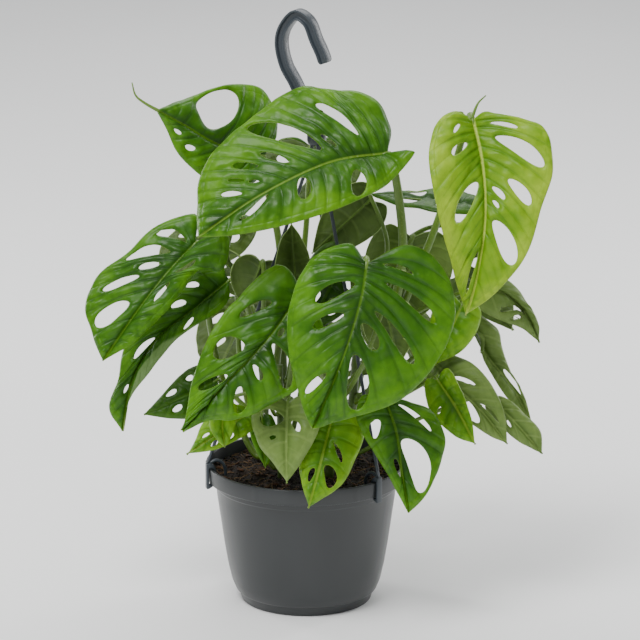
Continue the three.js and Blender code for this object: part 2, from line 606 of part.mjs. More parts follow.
    base: [141, 62, 328], tip: [53, 82, 334], facing: [-0.05, -0.05, 1], width: 58,
  },
  back_top: {
    stem: 'back_left', height: 205, via: [[0, 60, 310]], stalk: 2.2,
    base: [4, 66, 380], tip: [8, 140, 300], facing: [0.05, 0.7, 0.7], width: 84,
  },
  back_left_high: {
    stem: 'back_left', height: 180, via: [[-52, 50, 246], [-68, 55, 285]], stalk: 2.2,
    base: [-70, 62, 314], tip: [-120, 110, 240], facing: [-0.4, 0.8, 0.5], width: 84,
  },
  back_left_low: {
    stem: 'back_left', height: 150, via: [[-32, 60, 188]], stalk: 2,
    base: [-48, 68, 240], tip: [-80, 122, 158], facing: [-0.3, 0.85, 0.35], width: 78,
  },
  back_middle: {
    stem: 'back_left', height: 130, via: [[-2, 62, 180]], stalk: 1.9,
    base: [6, 84, 236], tip: [14, 136, 152], facing: [0, 0.9, 0.4], width: 70,
  },
  back_right_low: {
    stem: 'back_right', height: 140, stalk: 2,
    base: [70, 74, 232], tip: [112, 116, 146], facing: [0.4, 0.85, 0.35], width: 76,
  },
  back_right_side: {
    stem: 'back_right', height: 172, stalk: 2, dark: true,
    base: [122, 74, 284], tip: [180, 92, 210], facing: [0.5, 0.75, 0.4], width: 76,
  },
};

// ---------------------------------------------------------------- stems

const STEMS = {
  front_right: { foot: [18, -26, 0], top: [26, -38, 215], radius: 4 },
  front_left: { foot: [-20, -24, 0], top: [-22, -36, 215], radius: 3.8 },
  left: { foot: [-32, 4, 0], top: [-38, 8, 225], radius: 4 },
  right: { foot: [34, 4, 0], top: [44, 0, 235], radius: 4.4 },
  back_right: { foot: [20, 32, 0], top: [30, 42, 210], radius: 4 },
  back_left: { foot: [-16, 32, 0], top: [-20, 44, 215], radius: 3.8 },
};

function makeStem({ foot, top, radius }) {
  const ground = SOIL_EDGE + SOIL_CROWN;
  const low = vec(foot).setZ(ground - STEM_DEPTH);
  const high = vec(top);
  const part = (height) => (height - low.z) / (high.z - low.z);
  const axis = (height) => low.clone().lerp(high, part(height));
  const width = (t) => radius * (1 - 0.25 * t);
  const curve = new THREE.LineCurve3(low, high);
  const shape = (grow) => rod(curve, (t) => width(t) + grow, 2, 10);
  return { axis, radiusAt: (height) => width(part(height)), shape };
}

// ---------------------------------------------------------------- pot and soil

/** A body turned about the pot's axis from a profile of [radius, height]. */
const turned = (profile, segments) => (
  new THREE.LatheGeometry(profile.map(([r, z]) => new THREE.Vector2(r, z)), segments).rotateX(Math.PI / 2)
);

function potGeometry() {
  const band = POT_HEIGHT - RIM_BAND_HEIGHT;
  const outside = [
    [0, 0], [BASE_RADIUS, 0], [BASE_RADIUS + 2.1, 7.6], [BASE_RADIUS + 3.9, 8.2], ...WALL_LINE,
    [COLLAR_RADIUS - 0.3, 99], [COLLAR_RADIUS, band - 0.5],
    [RIM_RADIUS - 1, band], [RIM_RADIUS - 0.5, band + 1], [RIM_RADIUS, POT_HEIGHT],
  ];
  const inside = [
    [RIM_RADIUS - RIM_WALL, POT_HEIGHT], [RIM_RADIUS - RIM_WALL, band + 2], [COLLAR_RADIUS - WALL, band + 1],
    ...WALL_LINE.map(([r, z]) => [r - WALL, z]).reverse(), [BASE_RADIUS, POT_FLOOR + 4],
    [BASE_RADIUS - 2, POT_FLOOR], [0, POT_FLOOR],
  ];
  return turned([...outside, ...inside], POT_SEGMENTS);
}

/** The root ball and compost: it fills the pot, heaped and lumpy on top. */
function soilGeometry(stems) {
  const gap = CLEARANCE + 0.2;
  const line = WALL_LINE.slice(1).map(([r, z]) => [r - WALL - gap, z]);
  const wall = [
    [0, POT_FLOOR + gap], [BASE_RADIUS - 2.5, POT_FLOOR + gap], [BASE_RADIUS + 2, 12], ...line,
    [line.at(-1)[0], 98],
  ];
  const rings = [SOIL_RADIUS, 60, 46, 30, 14, 0];
  const heap = rings.map((r) => [r, SOIL_EDGE + SOIL_CROWN * Math.cos((r / SOIL_RADIUS) * Math.PI / 2)]);
  const geometry = turned([...wall, ...heap], 28);
  const positions = geometry.attributes.position;
  for (let i = 0; i < positions.count; i += 1) {
    const x = positions.getX(i);
    const y = positions.getY(i);
    const z = positions.getZ(i);
    if (z > SOIL_EDGE - 1) {
      const small = Math.sin(0.21 * x + 1.3) * Math.cos(0.17 * y);
      const large = Math.sin(0.11 * (x + y)) * Math.cos(0.29 * x - 0.13 * y);
      positions.setZ(i, z + SOIL_LUMP * (small + large));
    }
  }
  let solid = toSolid(geometry);
  for (const stem of Object.values(stems)) solid = solid.subtract(toSolid(stem.shape(CLEARANCE)));
  return toGeometry(solid);
}

// ---------------------------------------------------------------- hanger

// The middle line of the hook in its own plane, as [out from the hub, up], from the hub round to its end.
const HOOK_LINE = [
  [0, HUB_HEIGHT + 5], [-10, 427], [-19.5, 446], [-28.7, 461], [-32.8, 480], [-29, 493], [-18, 504],
  [-7.3, 499], [-0.3, 484.5], [5.2, 474], [8.5, 465.5],
];

/** The hook, its shank and the hub that the strands hang from. */
function hookGeometry() {
  const section = new THREE.Shape();
  const w = HOOK_WIDTH / 2;
  const d = HOOK_DEPTH / 2;
  const web = 2.2;
  const corners = [
    [-w, -d], [w, -d], [w, -d + 1.6], [web, -d + 2.4], [web, d - 2.4], [w, d - 1.6], [w, d], [-w, d],
    [-w, d - 1.6], [-web, d - 2.4], [-web, -d + 2.4], [-w, -d + 1.6],
  ];
  section.setFromPoints(corners.map(([x, y]) => new THREE.Vector2(x, y)));
  const curve = new THREE.CatmullRomCurve3(HOOK_LINE.map(([x, z]) => vec([x, 0, z])), false, 'centripetal');
  const bar = new THREE.ExtrudeGeometry(section, { steps: 20, extrudePath: curve, bevelEnabled: false });
  bar.rotateZ(radians(HOOK_TURN));
  const hub = turned([[0, 0], [7, 0], [8, 3], [8, 9], [4, 14], [0, 14]], 12);
  hub.translate(0, 0, HUB_HEIGHT - HUB_DROP);
  return joined(bar, hub).translate(HUB_X, 0, 0);
}

/** One strand with the clip that grips the rim. */
function legGeometry(angle) {
  const turn = radians(angle);
  const band = POT_HEIGHT - RIM_BAND_HEIGHT;
  const outer = RIM_RADIUS + CLEARANCE;
  const inner = (RIM_RADIUS - RIM_WALL) * Math.cos(Math.PI / POT_SEGMENTS) - CLEARANCE;
  const top = POT_HEIGHT + CLEARANCE;
  const outline = [
    [inner - 2.4, SOIL_EDGE + 3], [inner, SOIL_EDGE + 3], [inner, top], [outer, top], [outer, band - 0.6],
    [RIM_RADIUS - 3, band - 0.6], [RIM_RADIUS - 3, band - 2], [outer, band - 4], [outer + 2.2, band - 4],
    [outer + 2.2, top + 4], [outer - 1, top + 5], [inner - 0.6, top + 3], [inner - 2.4, top],
  ];
  const clip = new THREE.ExtrudeGeometry(new THREE.Shape(outline.map(([r, z]) => new THREE.Vector2(r, z))), {
    depth: STRAP_WIDTH, bevelEnabled: false,
  });
  clip.translate(0, 0, -STRAP_WIDTH / 2).rotateX(Math.PI / 2).rotateZ(turn);
  const away = new THREE.Vector3(Math.cos(turn), Math.sin(turn), 0);
  const hub = vec([HUB_X, 0, HUB_HEIGHT]);
  const rim = away.clone().multiplyScalar(outer + 0.8).setZ(top + 3);
  const start = hub.clone().addScaledVector(away, 4.2).add(vec([0, 0, -HUB_DROP - CLEARANCE - 0.15]));
  const curve = new THREE.CatmullRomCurve3([
    start, start.clone().addScaledVector(away, 0.4).add(vec([0, 0, -5])), start.clone().lerp(rim, 0.5), rim,
  ], false, 'centripetal');
  const strand = rod(curve, () => STRAND_RADIUS, 7);
  return joined(clip, strand);
}

// ---------------------------------------------------------------- the plant

const group = new THREE.Group();
const place = (name, geometry, material) => {
  const mesh = new THREE.Mesh(geometry, material);
  mesh.name = name;
  group.add(mesh);
};

const stems = Object.fromEntries(Object.entries(STEMS).map(([name, stem]) => [name, makeStem(stem)]));

place('pot', potGeometry(), potPlastic);
place('soil', soilGeometry(stems), soilMaterial);
place('hanger_hook', hookGeometry(), hangerPlastic);
for (const [name, angle] of Object.entries(STRAND_ANGLES)) {
  place(`hanger_leg_${name}`, legGeometry(angle), hangerPlastic);
}
for (const [name, stem] of Object.entries(stems)) {
  place(`stem_${name}`, toGeometry(toSolid(stem.shape(0))), stemGreen);
}
for (const [name, leaf] of Object.entries(LEAVES)) {
  const green = leaf.pale ? paleLeafGreen : leaf.dark ? darkLeafGreen : leafGreen;
  place(`leaf_${name}`, leafGeometry(leaf, stems), green);
}

export default group;
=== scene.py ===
"""A Monstera adansonii house plant in a plastic hanging pot, dressed over its fixed frame.

Lengths in the tables are millimetres, with Z up and the origin in the middle of the pot's base.
"""
import math
import random

import bmesh
import bpy
import numpy as np
from bpy.props import FloatProperty, FloatVectorProperty, IntProperty, PointerProperty
from mathutils import Matrix, Vector, noise
from mathutils.kdtree import KDTree


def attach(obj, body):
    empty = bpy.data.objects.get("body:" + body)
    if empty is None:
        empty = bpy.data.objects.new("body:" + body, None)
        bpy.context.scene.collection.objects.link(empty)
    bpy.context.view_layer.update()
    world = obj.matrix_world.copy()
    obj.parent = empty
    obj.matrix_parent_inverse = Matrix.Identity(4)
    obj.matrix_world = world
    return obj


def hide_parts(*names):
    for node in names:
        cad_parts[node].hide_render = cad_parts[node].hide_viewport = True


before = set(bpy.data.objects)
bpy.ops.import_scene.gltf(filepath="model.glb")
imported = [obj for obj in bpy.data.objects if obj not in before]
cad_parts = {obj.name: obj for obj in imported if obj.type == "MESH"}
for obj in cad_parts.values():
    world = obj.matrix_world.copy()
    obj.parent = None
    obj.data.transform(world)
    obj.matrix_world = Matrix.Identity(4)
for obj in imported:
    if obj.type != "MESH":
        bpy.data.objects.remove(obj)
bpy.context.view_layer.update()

bl_info = {
    "name": "Hanging monstera",
    "version": (1, 0, 0),
    "blender": (4, 5, 0),
    "location": "View3D > Sidebar > Plant",
    "description": "Builds a Monstera adansonii in a plastic hanging pot",
    "category": "Add Mesh",
}

# ---------------------------------------------------------------- sizes in millimetres

# The pot, with a turned-down band round its rim. Every profile is drawn as (radius, height).
POT_PROFILE = [
    (0, 0), (55.5, 0), (57.6, 7.6), (59.4, 8.2), (60.6, 10), (63.6, 17.5), (66.9, 32), (69.9, 50),
    (75.7, 91), (76.5, 99.6), (77.3, 100.4), (77.3, 106), (84, 106.5), (84.5, 107.5), (85, 120),
    (82.5, 120), (82.5, 108.5), (75.8, 107.5), (74.2, 91), (68.4, 50), (65.4, 32), (62.1, 17.5),
    (59.1, 10), (55.5, 7), (53.5, 3), (0, 3),
]
RIM_RADIUS = 85
RIM_TOP = 120
BAND_FOOT = 106.5
BAND_SEAMS = 6
SEAM_HEIGHT = 0.5

# The compost: a crowned heap that ends on the wide ledge under the rim.
SOIL_RADIUS = 74.2
SOIL_EDGE = 110
SOIL_CROWN = 6
COMPOST_RADIUS = 82
LEDGE_HEIGHT = 108.9
SOIL_WALL = [
    (0, 3.6), (53, 3.6), (57.5, 12), (61.6, 17.5), (64.9, 32), (67.9, 50), (73.7, 91), (74.5, 98),
    (75.3, LEDGE_HEIGHT - 0.2), (COMPOST_RADIUS, LEDGE_HEIGHT - 0.2),
]
SOIL_RINGS = 44
SOIL_STEPS = 150
CRUMB_SPREAD = 0.4, 1.2
CHIP_SIZES = 2.5, 7
EDGE_GAP = 1.8
FIBRE_STEP = 3.2
FIBRE_RADII = np.linspace(0.3, 0.16, 8)

# The hanger's hook: an I-section bar along a line of (distance from the hub, height).
HUB = Vector((9, 0, 401))
HUB_PROFILE = [(0, -5), (7, -5), (8, -2), (8, 4), (4, 9), (0, 9)]
HOOK_LINE = [
    (0, 406), (-10, 427), (-19.5, 446), (-28.7, 461), (-32.8, 480), (-29, 493), (-18, 504),
    (-7.3, 499), (-0.3, 484.5), (5.2, 474), (8.5, 465.5),
]
HOOK_TURN = -28
HOOK_STEPS = 90
HOOK_END_TAPER = 0.97, 0.9, 0.74
HALF_WEB = 2.2
FLANGE = 1.6
FLANGE_ROOT = FLANGE + 0.8

# The strands, by their angle round the pot, and the clip that each one ends in.
STRANDS = {"left": -165, "right": -45, "back": 75}
CLIP_WIDTH = 5.6
CLIP_INNER = 81.9
CLIP_OUTER = RIM_RADIUS + 0.3
CLIP_TOP = RIM_TOP + 0.3
CLIP_OUTLINE = [
    (CLIP_INNER - 2.4, SOIL_EDGE + 3), (CLIP_INNER, SOIL_EDGE + 3), (CLIP_INNER, CLIP_TOP),
    (CLIP_OUTER, CLIP_TOP), (CLIP_OUTER, BAND_FOOT - 0.6), (RIM_RADIUS - 3, BAND_FOOT - 0.6),
    (RIM_RADIUS - 3, BAND_FOOT - 2), (CLIP_OUTER, BAND_FOOT - 4), (CLIP_OUTER + 2.2, BAND_FOOT - 4),
    (CLIP_OUTER + 2.2, CLIP_TOP + 4), (CLIP_OUTER - 1, CLIP_TOP + 5), (CLIP_INNER - 0.6, CLIP_TOP + 3),
    (CLIP_INNER - 2.4, CLIP_TOP),
]
CLIP_CURL = [
    (CLIP_OUTER + 0.8, CLIP_TOP + 3.5), (CLIP_INNER - 3, CLIP_TOP + 6.5), (CLIP_INNER - 8, CLIP_TOP + 4.5),
    (CLIP_INNER - 11, CLIP_TOP - 1), (CLIP_INNER - 11.5, CLIP_TOP - 7.5),
]
CURL_RADIUS = 1.4

# The vines, which stand in the compost and carry a faint ring at every node.
ROOT_DEPTH = 22
STEM_TAPER = 0.25
NODE_SPACING = 34
NODE_WIDTH = 2.2

# How a blade's sheet runs: it sags between rib and margin, its side veins sweep to the tip, and its
# lobes stand beyond its base.
DROOP = 4
SAG_WIDTH = 30
VEIN_SWEEP = 0.16
LOBE = 0.15
FOLD_PITCH = 10.5
MARGIN_VEIN = 6.5
ORDINARY_SLOTS = [(1, 0.22, 0.72, 0.45), (2, 0.2, 0.78, 0.55)]
UNCUT = [[], []]
HEART = [(-0.09, 0.26), (0.06, 0.45), (0.34, 0.5), (0.63, 0.37), (0.86, 0.16)]

# Relief of a blade: the size of each unevenness along the sheet, and the depth and width of its grooves.
RIPPLE, WAVE, CRUMPLE, PUCKER = 9, 38, 15, 13
RIB_GROOVE = 0.5, 1.6
MARGIN_GROOVE = 0.2, 1.3
RIM_TURN = 0.7

# A slot takes in the grid out to this share of its own size, and is this much wider at the margin.
SLOT_SNAP = 1.08
SLOT_FLARE = 0.2

STEMS = {
    "front_right": dict(foot=(18, -26), top=(26, -38, 215), radius=4),
    "front_left": dict(foot=(-20, -24), top=(-22, -36, 215), radius=3.8),
    "left": dict(foot=(-32, 4), top=(-38, 8, 225), radius=4),
    "right": dict(foot=(34, 4), top=(44, 0, 235), radius=4.4),
    "back_right": dict(foot=(20, 32), top=(30, 42, 210), radius=4),
    "back_left": dict(foot=(-16, 32), top=(-20, 44, 215), radius=3.8),
}

# How much coarser than the setting the mesh of a plain leaf is.
ROUGH_CELL = 1.4

# Every place is where the stalk joins the blade, the tip, or a point of the margin.
# left and right are as seen from above the blade with its tip pointing down the page.
# veins: for each half, how many cells its side veins part it into, or where the veins leave the midrib.
# slant, reach and lag say how the side veins run: down the midrib, round the base lobe and down the margin.
# slots: (cell between two side veins, where it starts and ends from midrib to margin, how wide it gapes,
# how far it leans to the tip)
# turned: from where down the blade, and how far out of the midrib, the right half shows its underside.
# facing and width stand for the margins of a leaf that is drawn as a plain heart.
# buckle: how much more than usual the blade buckles. fine: the mesh is as fine as the small slots need.
# pale tells young leaves. dark marks leaves in the shadow of others, which get darker copies of the leaf and
# underside colours as painted shade. skin is for a face that isn't the usual one of its kind.
LEAVES = {
    "crown": dict(
        skin="pale_rib",
        stem="right", height=175, via=[(80, -24, 300), (78, -30, 350)], stalk=3.4, fine=True,
        base=(68, -45, 399), midrib=[(20, -65, 396), (-35, -84, 374)], tip=(-88, -95, 340),
        left=[
            (70, -27, 419), (55, -16, 440), (22, -15, 447), (-8, -17, 448), (-52, -38, 422),
            (-83, -56, 390), (-90, -74, 362),
        ],
        right=[
            (89, -61, 404), (70, -65, 380), (49, -82, 371), (20, -96, 362), (-17, -102, 352),
            (-55, -102, 344),
        ],
        veins=(
            [0.12, 0.24, 0.37, 0.413, 0.454, 0.548, 0.59, 0.645, 0.7, 0.785, 0.83, 0.91],
            [0.17, 0.34, 0.52, 0.58, 0.73, 0.9],
        ),
        slant=1.7, reach=(0.34, 0.14), lag=(1.2, 1.2),
        slots=[
            [
                (2, 0.23, 0.72, 0.44, 0.35), (4, 0.17, 0.38, 0.5), (5, 0.2, 0.94, 0.8),
                (7, 0.24, 0.6, 0.5, -0.3), (8, 0.48, 0.74, 0.6), (9, 0.27, 0.42, 0.18),
                (9, 0.48, 0.68, 0.23), (10, 0.31, 0.66, 0.54),
            ],
            [(2, 0.37, 0.93, 0.41), (4, 0.08, 0.61, 0.3), (5, 0.09, 0.56, 0.25, 0.45)],
        ],
    ),
    "upper_left": dict(
        buckle=1.4,
        stem="left", height=190, via=[(-22, 18, 300)], stalk=2.6, fine=True, base=(-34, 24, 380),
        midrib=[(-72, 1, 395), (-101, -12, 415)], tip=(-124, -20, 430),
        left=[(-28, 38, 392), (-27, 43, 414), (-36, 44, 434), (-60, 32, 440), (-94, 4, 438)],
        right=[(-43, 12, 360), (-76, -11, 365), (-103, -20, 389), (-115, -20, 413)],
        tail=[(-121, -18, 428), (-132, -21, 435), (-140, -22, 442), (-143, -22, 453)],
        veins=([0.3, 0.53, 0.79], [0.25, 0.5, 0.66, 0.8]),
        slant=1.7, reach=(0.18, 0.18),
        slots=[[(2, 0.17, 0.93, 0.84, 0.1)], [(2, 0.6, 0.8, 0.35), (3, 0.6, 0.78, 0.4)]],
    ),
    "right_pale": dict(
        stem="right", height=200, via=[(100, -8, 305), (116, -4, 350)], stalk=2.8, fine=True, pale=True,
        base=(138, -15, 421),
        midrib=[(145, -31, 392), (148, -45, 359), (146, -54, 325), (139, -59, 288)],
        tip=(132, -60, 264),
        left=[
            (123, -22, 429), (109, -27, 425), (101, -46, 397), (108, -60, 354), (119, -63, 314),
            (126, -62, 285),
        ],
        right=[
            (151, -18, 428), (179, -22, 421), (198, -28, 416), (204, -41, 385), (195, -50, 356),
            (181, -59, 315), (155, -61, 282),
        ],
        tail=[(137, -14, 419), (140, -13, 428), (143, -12, 434), (149, -12, 440)],
        veins=(
            [0.12, 0.22, 0.33, 0.41, 0.57, 0.7, 0.9],
            [0.1, 0.166, 0.318, 0.39, 0.485, 0.54, 0.59, 0.7, 0.85],
        ),
        slant=1.7, reach=(0.08, 0.27), lag=(0.65, 0.8),
        slots=[
            [
                (1, 0.35, 0.5, 0.35, 0.3), (2, 0.23, 0.56, 0.35), (4, 0.15, 0.74, 0.53),
                (6, 0.17, 0.68, 0.4, 0.4),
            ],
            [
                (1, 0.2, 0.56, 0.4, 0.15), (2, 0.23, 0.88, 0.6, 0.1), (4, 0.42, 0.84, 0.6),
                (5, 0.14, 0.4, 0.54), (6, 0.15, 0.3, 0.4), (7, 0.2, 0.92, 0.8),
            ],
        ],
    ),
    "front_centre": dict(
        stem="front_right", height=176, via=[(30, -62, 215)], stalk=2.8, fine=True, base=(50, -100, 320),
        midrib=[(45, -114, 292), (30, -131, 247)], tip=(6, -140, 192),
        left=[(35, -97, 336), (5, -99, 324), (-14, -113, 286), (-13, -125, 249), (-4, -135, 212)],
        right=[
            (83, -96, 334), (111, -92, 316), (123, -96, 281), (110, -111, 243), (79, -125, 212),
            (38, -134, 198),
        ],
        veins=(
            [0.1, 0.2, 0.31, 0.49, 0.64, 0.74, 0.845, 0.93],
            [0.06, 0.134, 0.2, 0.34, 0.425, 0.55, 0.67, 0.82, 0.91],
        ),
        slant=1.7, reach=(0.27, 0.34), lag=(1.2, 1),
        slots=[
            [(3, 0.14, 0.66, 0.6, 0.15), (4, 0.23, 0.68, 0.35, -0.15), (6, 0.4, 0.9, 0.4, -0.15)],
            [
                (1, 0.16, 0.49, 0.31, 0.3), (3, 0.22, 0.81, 0.47), (5, 0.21, 0.84, 0.43, -0.27),
                (6, 0.11, 0.47, 0.58, -0.15), (7, 0.21, 0.92, 0.75, 0.1),
            ],
        ],
    ),
    "front_left": dict(
        buckle=1.9,
        stem="front_left", height=185, stalk=2.4, fine=True, base=(-2, -70, 289),
        midrib=[(-32, -90, 252), (-64, -104, 221)], tip=(-101, -115, 182),
        left=[(-19, -67, 310), (-46, -73, 300), (-75, -90, 263), (-93, -104, 223), (-98, -111, 197)],
        right=[(13, -75, 265), (7, -87, 230), (-10, -97, 209), (-50, -107, 191), (-81, -112, 187)],
        veins=([0.06, 0.18, 0.4, 0.66, 0.85], [0.12, 0.24, 0.33, 0.47, 0.575, 0.7, 0.84]),
        slant=1.1, reach=(0.2, 0.14), lag=(0.5, 1),
        slots=[
            [(1, 0.37, 0.75, 0.34, 0.1), (2, 0.39, 0.86, 0.5, -0.5), (3, 0.29, 0.89, 0.4, -0.6)],
            [(2, 0.06, 0.16, 0.6), (3, 0.12, 0.9, 0.55, 0.45), (4, 0.14, 0.5, 0.3), (5, 0.35, 0.9, 0.55)],
        ],
    ),
    "left": dict(
        buckle=1.4,
        stem="left", height=122, via=[(-72, 18, 190), (-86, 16, 268), (-89, 6, 300)], stalk=2.3, fine=True,
        base=(-91, -25, 318), midrib=[(-115, -41, 296), (-141, -56, 265)], tip=(-168, -65, 227),
        left=[
            (-93, -13, 340), (-131, -10, 332), (-153, -23, 309), (-175, -31, 289), (-183, -41, 267),
            (-176, -53, 247),
        ],
        right=[(-64, -35, 326), (-69, -39, 298), (-90, -40, 295), (-109, -52, 274), (-137, -62, 247)],
        veins=([0.035, 0.1, 0.205, 0.245, 0.325, 0.42, 0.51, 0.73, 0.86], [0.13, 0.26, 0.45, 0.75, 0.88]),
        slant=1.1, reach=(0.14, 0.08), lag=(0.5, 1.2),
        slots=[
            [
                (1, 0.14, 0.84, 0.35, 0.12), (2, 0.23, 0.85, 0.74, -0.15), (4, 0.2, 0.47, 0.75),
                (5, 0.39, 0.83, 0.8), (7, 0.32, 0.92, 0.76, 0.1),
            ],
            [(2, 0.2, 0.4, 0.44, -0.4), (3, 0.27, 0.45, 0.4)],
        ],
    ),
    "left_low": dict(
        stem="left", height=142, via=[(-56, 17, 205)], stalk=2, base=(-64, 5, 278),
        midrib=[(-91, -8, 258), (-124, -20, 234), (-145, -29, 200)],
        tip=(-154, -35, 157),
        left=[(-77, 9, 289), (-123, -3, 267), (-151, -17, 231), (-158, -27, 197), (-165, -30, 176)],
        right=[(-67, -12, 260), (-105, -23, 236), (-129, -32, 209), (-147, -32, 185)],
        veins=(8, 5), slant=1.2, reach=(0.12, 0.12),
        turned=[(0.15, 1.05), (0.25, 0.92), (0.35, 0.85), (0.5, 0.45), (0.7, 0.42), (0.92, 1.05)],
        slots=[
            [(1, 0.4, 0.7, 0.3), (2, 0.25, 0.5, 0.4), (4, 0.1, 0.65, 0.6), (6, 0.1, 0.35, 0.3)],
            [(1, 0.55, 0.85, 0.25)],
        ],
    ),
    "left_dark": dict(
        fine=True,
        stem="left", height=160, stalk=1.8, dark=True, base=(-74, -6, 194),
        midrib=[(-90, -16, 188), (-112, -25, 180)], tip=(-136, -30, 170),
        left=[(-78, 2, 207), (-97, -5, 204), (-119, -19, 187)],
        right=[(-75, -14, 180), (-90, -25, 167), (-112, -30, 166)],
        slots=[[(3, 0.45, 0.8, 0.5), (2, 0.5, 0.75, 0.35)], [(3, 0.35, 0.72, 0.45)]],
    ),
    "low_left": dict(
        skin="fresh", fine=True,
        stem="front_left", height=124, stalk=1.7, pale=True, base=(-47, -45, 177), midrib=[(-71, -62, 165)],
        tip=(-99, -75, 149),
        left=[(-58, -44, 183), (-83, -58, 174), (-92, -67, 161)],
        right=[(-42, -49, 166), (-57, -60, 158), (-78, -70, 150)],
        slots=[[(3, 0.4, 0.68, 0.4)], [(3, 0.35, 0.75, 0.4), (2, 0.5, 0.78, 0.35)]],
    ),
    "low_left_small": dict(
        skin="fresh", fine=True,
        stem="front_left", height=172, via=[(-38, -52, 196)], stalk=1.4, pale=True, base=(-66, -70, 193),
        midrib=[(-69, -78, 176)], tip=(-67, -82, 157),
        veins=(3, 3),
        left=[(-76, -71, 191), (-80, -77, 176), (-74, -81, 163)],
        right=[(-56, -71, 190), (-59, -78, 174), (-63, -81, 163)],
        slots=UNCUT,
    ),
    "bottom_fold": dict(
        skin="under", fine=True,
        stem="front_left", height=158, stalk=1.8, base=(-15, -70, 194), midrib=[(-16, -89, 163)],
        tip=(-16, -98, 131),
        left=[(-31, -66, 199), (-46, -70, 184), (-40, -83, 162), (-26, -92, 144)],
        right=[(2, -74, 200), (12, -86, 183), (7, -93, 166), (-6, -97, 144)],
        veins=([0.25, 0.48, 0.62, 0.8], [0.2, 0.34, 0.54, 0.8]),
        slots=[[(1, 0.07, 0.73, 0.72), (2, 0.34, 0.58, 0.3)], [(2, 0.13, 0.5, 0.45, 0.35)]],
    ),
    "bottom_small": dict(
        stem="front_left", height=141, stalk=1.6, base=(-37, -42, 172), midrib=[(-36, -50, 154)],
        tip=(-34, -59, 132),
        veins=(4, 4),
        left=[(-44, -40, 176), (-48, -46, 164), (-42, -54, 146)],
        right=[(-29, -43, 175), (-23, -50, 160), (-26, -56, 144)],
        slots=[[(2, 0.3, 0.6, 0.3)], []],
    ),
    "bottom_centre": dict(
        skin="fresh", fine=True,
        stem="front_right", height=130, stalk=1.9, base=(22, -65, 178),
        midrib=[(15, -82, 155), (8, -94, 130)], tip=(2, -100, 110),
        left=[(10, -64, 186), (-5, -72, 170), (-6, -83, 145), (-3, -94, 125)],
        right=[(37, -66, 185), (48, -68, 168), (43, -81, 148), (32, -92, 129), (13, -98, 116)],
        veins=([0.2, 0.4, 0.6, 0.76], [0.2, 0.35, 0.55, 0.74]),
        slots=[[(3, 0.2, 0.62, 0.6, 0.25)], [(3, 0.16, 0.84, 0.6, 0.3), (2, 0.17, 0.66, 0.24, 0.6)]],
    ),
    "bottom_right": dict(
        fine=True,
        stem="front_right", height=145, via=[(46, -66, 168)], stalk=2, base=(66, -75, 196),
        midrib=[(75, -88, 172), (79, -98, 143)], tip=(85, -105, 108),
        left=[(47, -76, 200), (42, -82, 181), (57, -93, 154), (75, -101, 126)],
        right=[(99, -74, 191), (115, -82, 170), (113, -90, 148), (99, -100, 121)],
        veins=([0.16, 0.3, 0.48, 0.62, 0.82], [0.12, 0.37, 0.48, 0.81]),
        slots=[
            [(2, 0.38, 0.81, 0.55, 0.35), (4, 0.08, 0.5, 0.6, -0.3)],
            [(1, 0.23, 0.73, 0.36, 0.8), (3, 0.06, 0.93, 0.78, 0.4)],
        ],
    ),
    "right_low_pale": dict(
        skin="fresh", fine=True,
        stem="front_right", height=160, stalk=1.6, pale=True, base=(109, -45, 206),
        midrib=[(125, -60, 185)], tip=(141, -70, 156),
        left=[(100, -45, 203), (103, -54, 181), (122, -65, 163)],
        right=[(118, -45, 215), (128, -52, 202), (137, -63, 179)],
        slots=[[(3, 0.46, 0.8, 0.3, 0.8), (2, 0.5, 0.8, 0.2)], []],
    ),
    "right_grey": dict(
        skin="under", fine=True,
        stem="right", height=150, stalk=1.9, dark=True, base=(108, -10, 210),
        midrib=[(128, -23, 191), (149, -33, 172)], tip=(169, -40, 147),
        left=[(99, -12, 197), (113, -22, 176), (138, -31, 162), (156, -37, 153)],
        right=[(118, -10, 219), (141, -20, 211), (159, -30, 190), (167, -36, 169)],
        veins=([0.2, 0.45, 0.72, 0.86], [0.2, 0.33, 0.5, 0.62, 0.87]),
        slots=[[(2, 0.1, 0.86, 0.8, -0.2)], [(2, 0.12, 0.6, 0.36, 0.6), (4, 0.24, 0.66, 0.4, 0.5)]],
    ),
    "right_far": dict(
        skin="under", fine=True,
        stem="right", height=125, via=[(90, 14, 150)], stalk=1.6, dark=True, base=(154, -14, 181),
        midrib=[(176, -24, 161)], tip=(199, -29, 135),
        left=[(151, -16, 170), (168, -23, 153), (188, -26, 140)],
        right=[(166, -17, 182), (185, -19, 168), (198, -25, 154)],
        slots=[[(2, 0.3, 0.6, 0.3)], []],
    ),
    "right_edge": dict(
        skin="under", fine=True,
        stem="back_right", height=160, via=[(90, 34, 200)], stalk=1.8, dark=True, base=(137, 20, 242),
        midrib=[(152, 14, 211), (167, 8, 193), (181, 4, 173)],
        tip=(193, 0, 146),
        left=[(136, 15, 236), (149, 12, 225), (150, 7, 212), (155, 4, 200), (164, 1, 184), (176, -2, 168)],
        right=[
            (150, 23, 242), (163, 21, 228), (168, 17, 211), (175, 13, 195), (183, 9, 181), (190, 3, 162),
        ],
        veins=(5, [0.25, 0.5, 0.8]),
        slots=[[], [(2, 0.13, 0.68, 0.72)]],
    ),
    "right_under": dict(
        skin="under", fine=True,
        stem="back_right", height=185, stalk=1.8, dark=True, via=[(90, 30, 240)], base=(138, 10, 267),
        midrib=[(164, 17, 264), (184, 20, 246)], tip=(198, 15, 220),
        left=[(141, 5, 256), (158, 5, 245), (181, 11, 234), (190, 13, 227)],
        right=[(147, 20, 276), (170, 25, 273), (191, 24, 251), (197, 18, 236)],
        veins=([0.34, 0.79], 4),
        slots=[[(1, 0.1, 0.74, 0.2, -0.85), (1, 0.5, 0.88, 0.15, -0.55)], []],
    ),
    "centre_young": dict(
        stem="front_left", height=200, stalk=1.6, dark=True, base=(-8, -22, 274), midrib=[(-10, -16, 302)],
        tip=(-12, -22, 334),
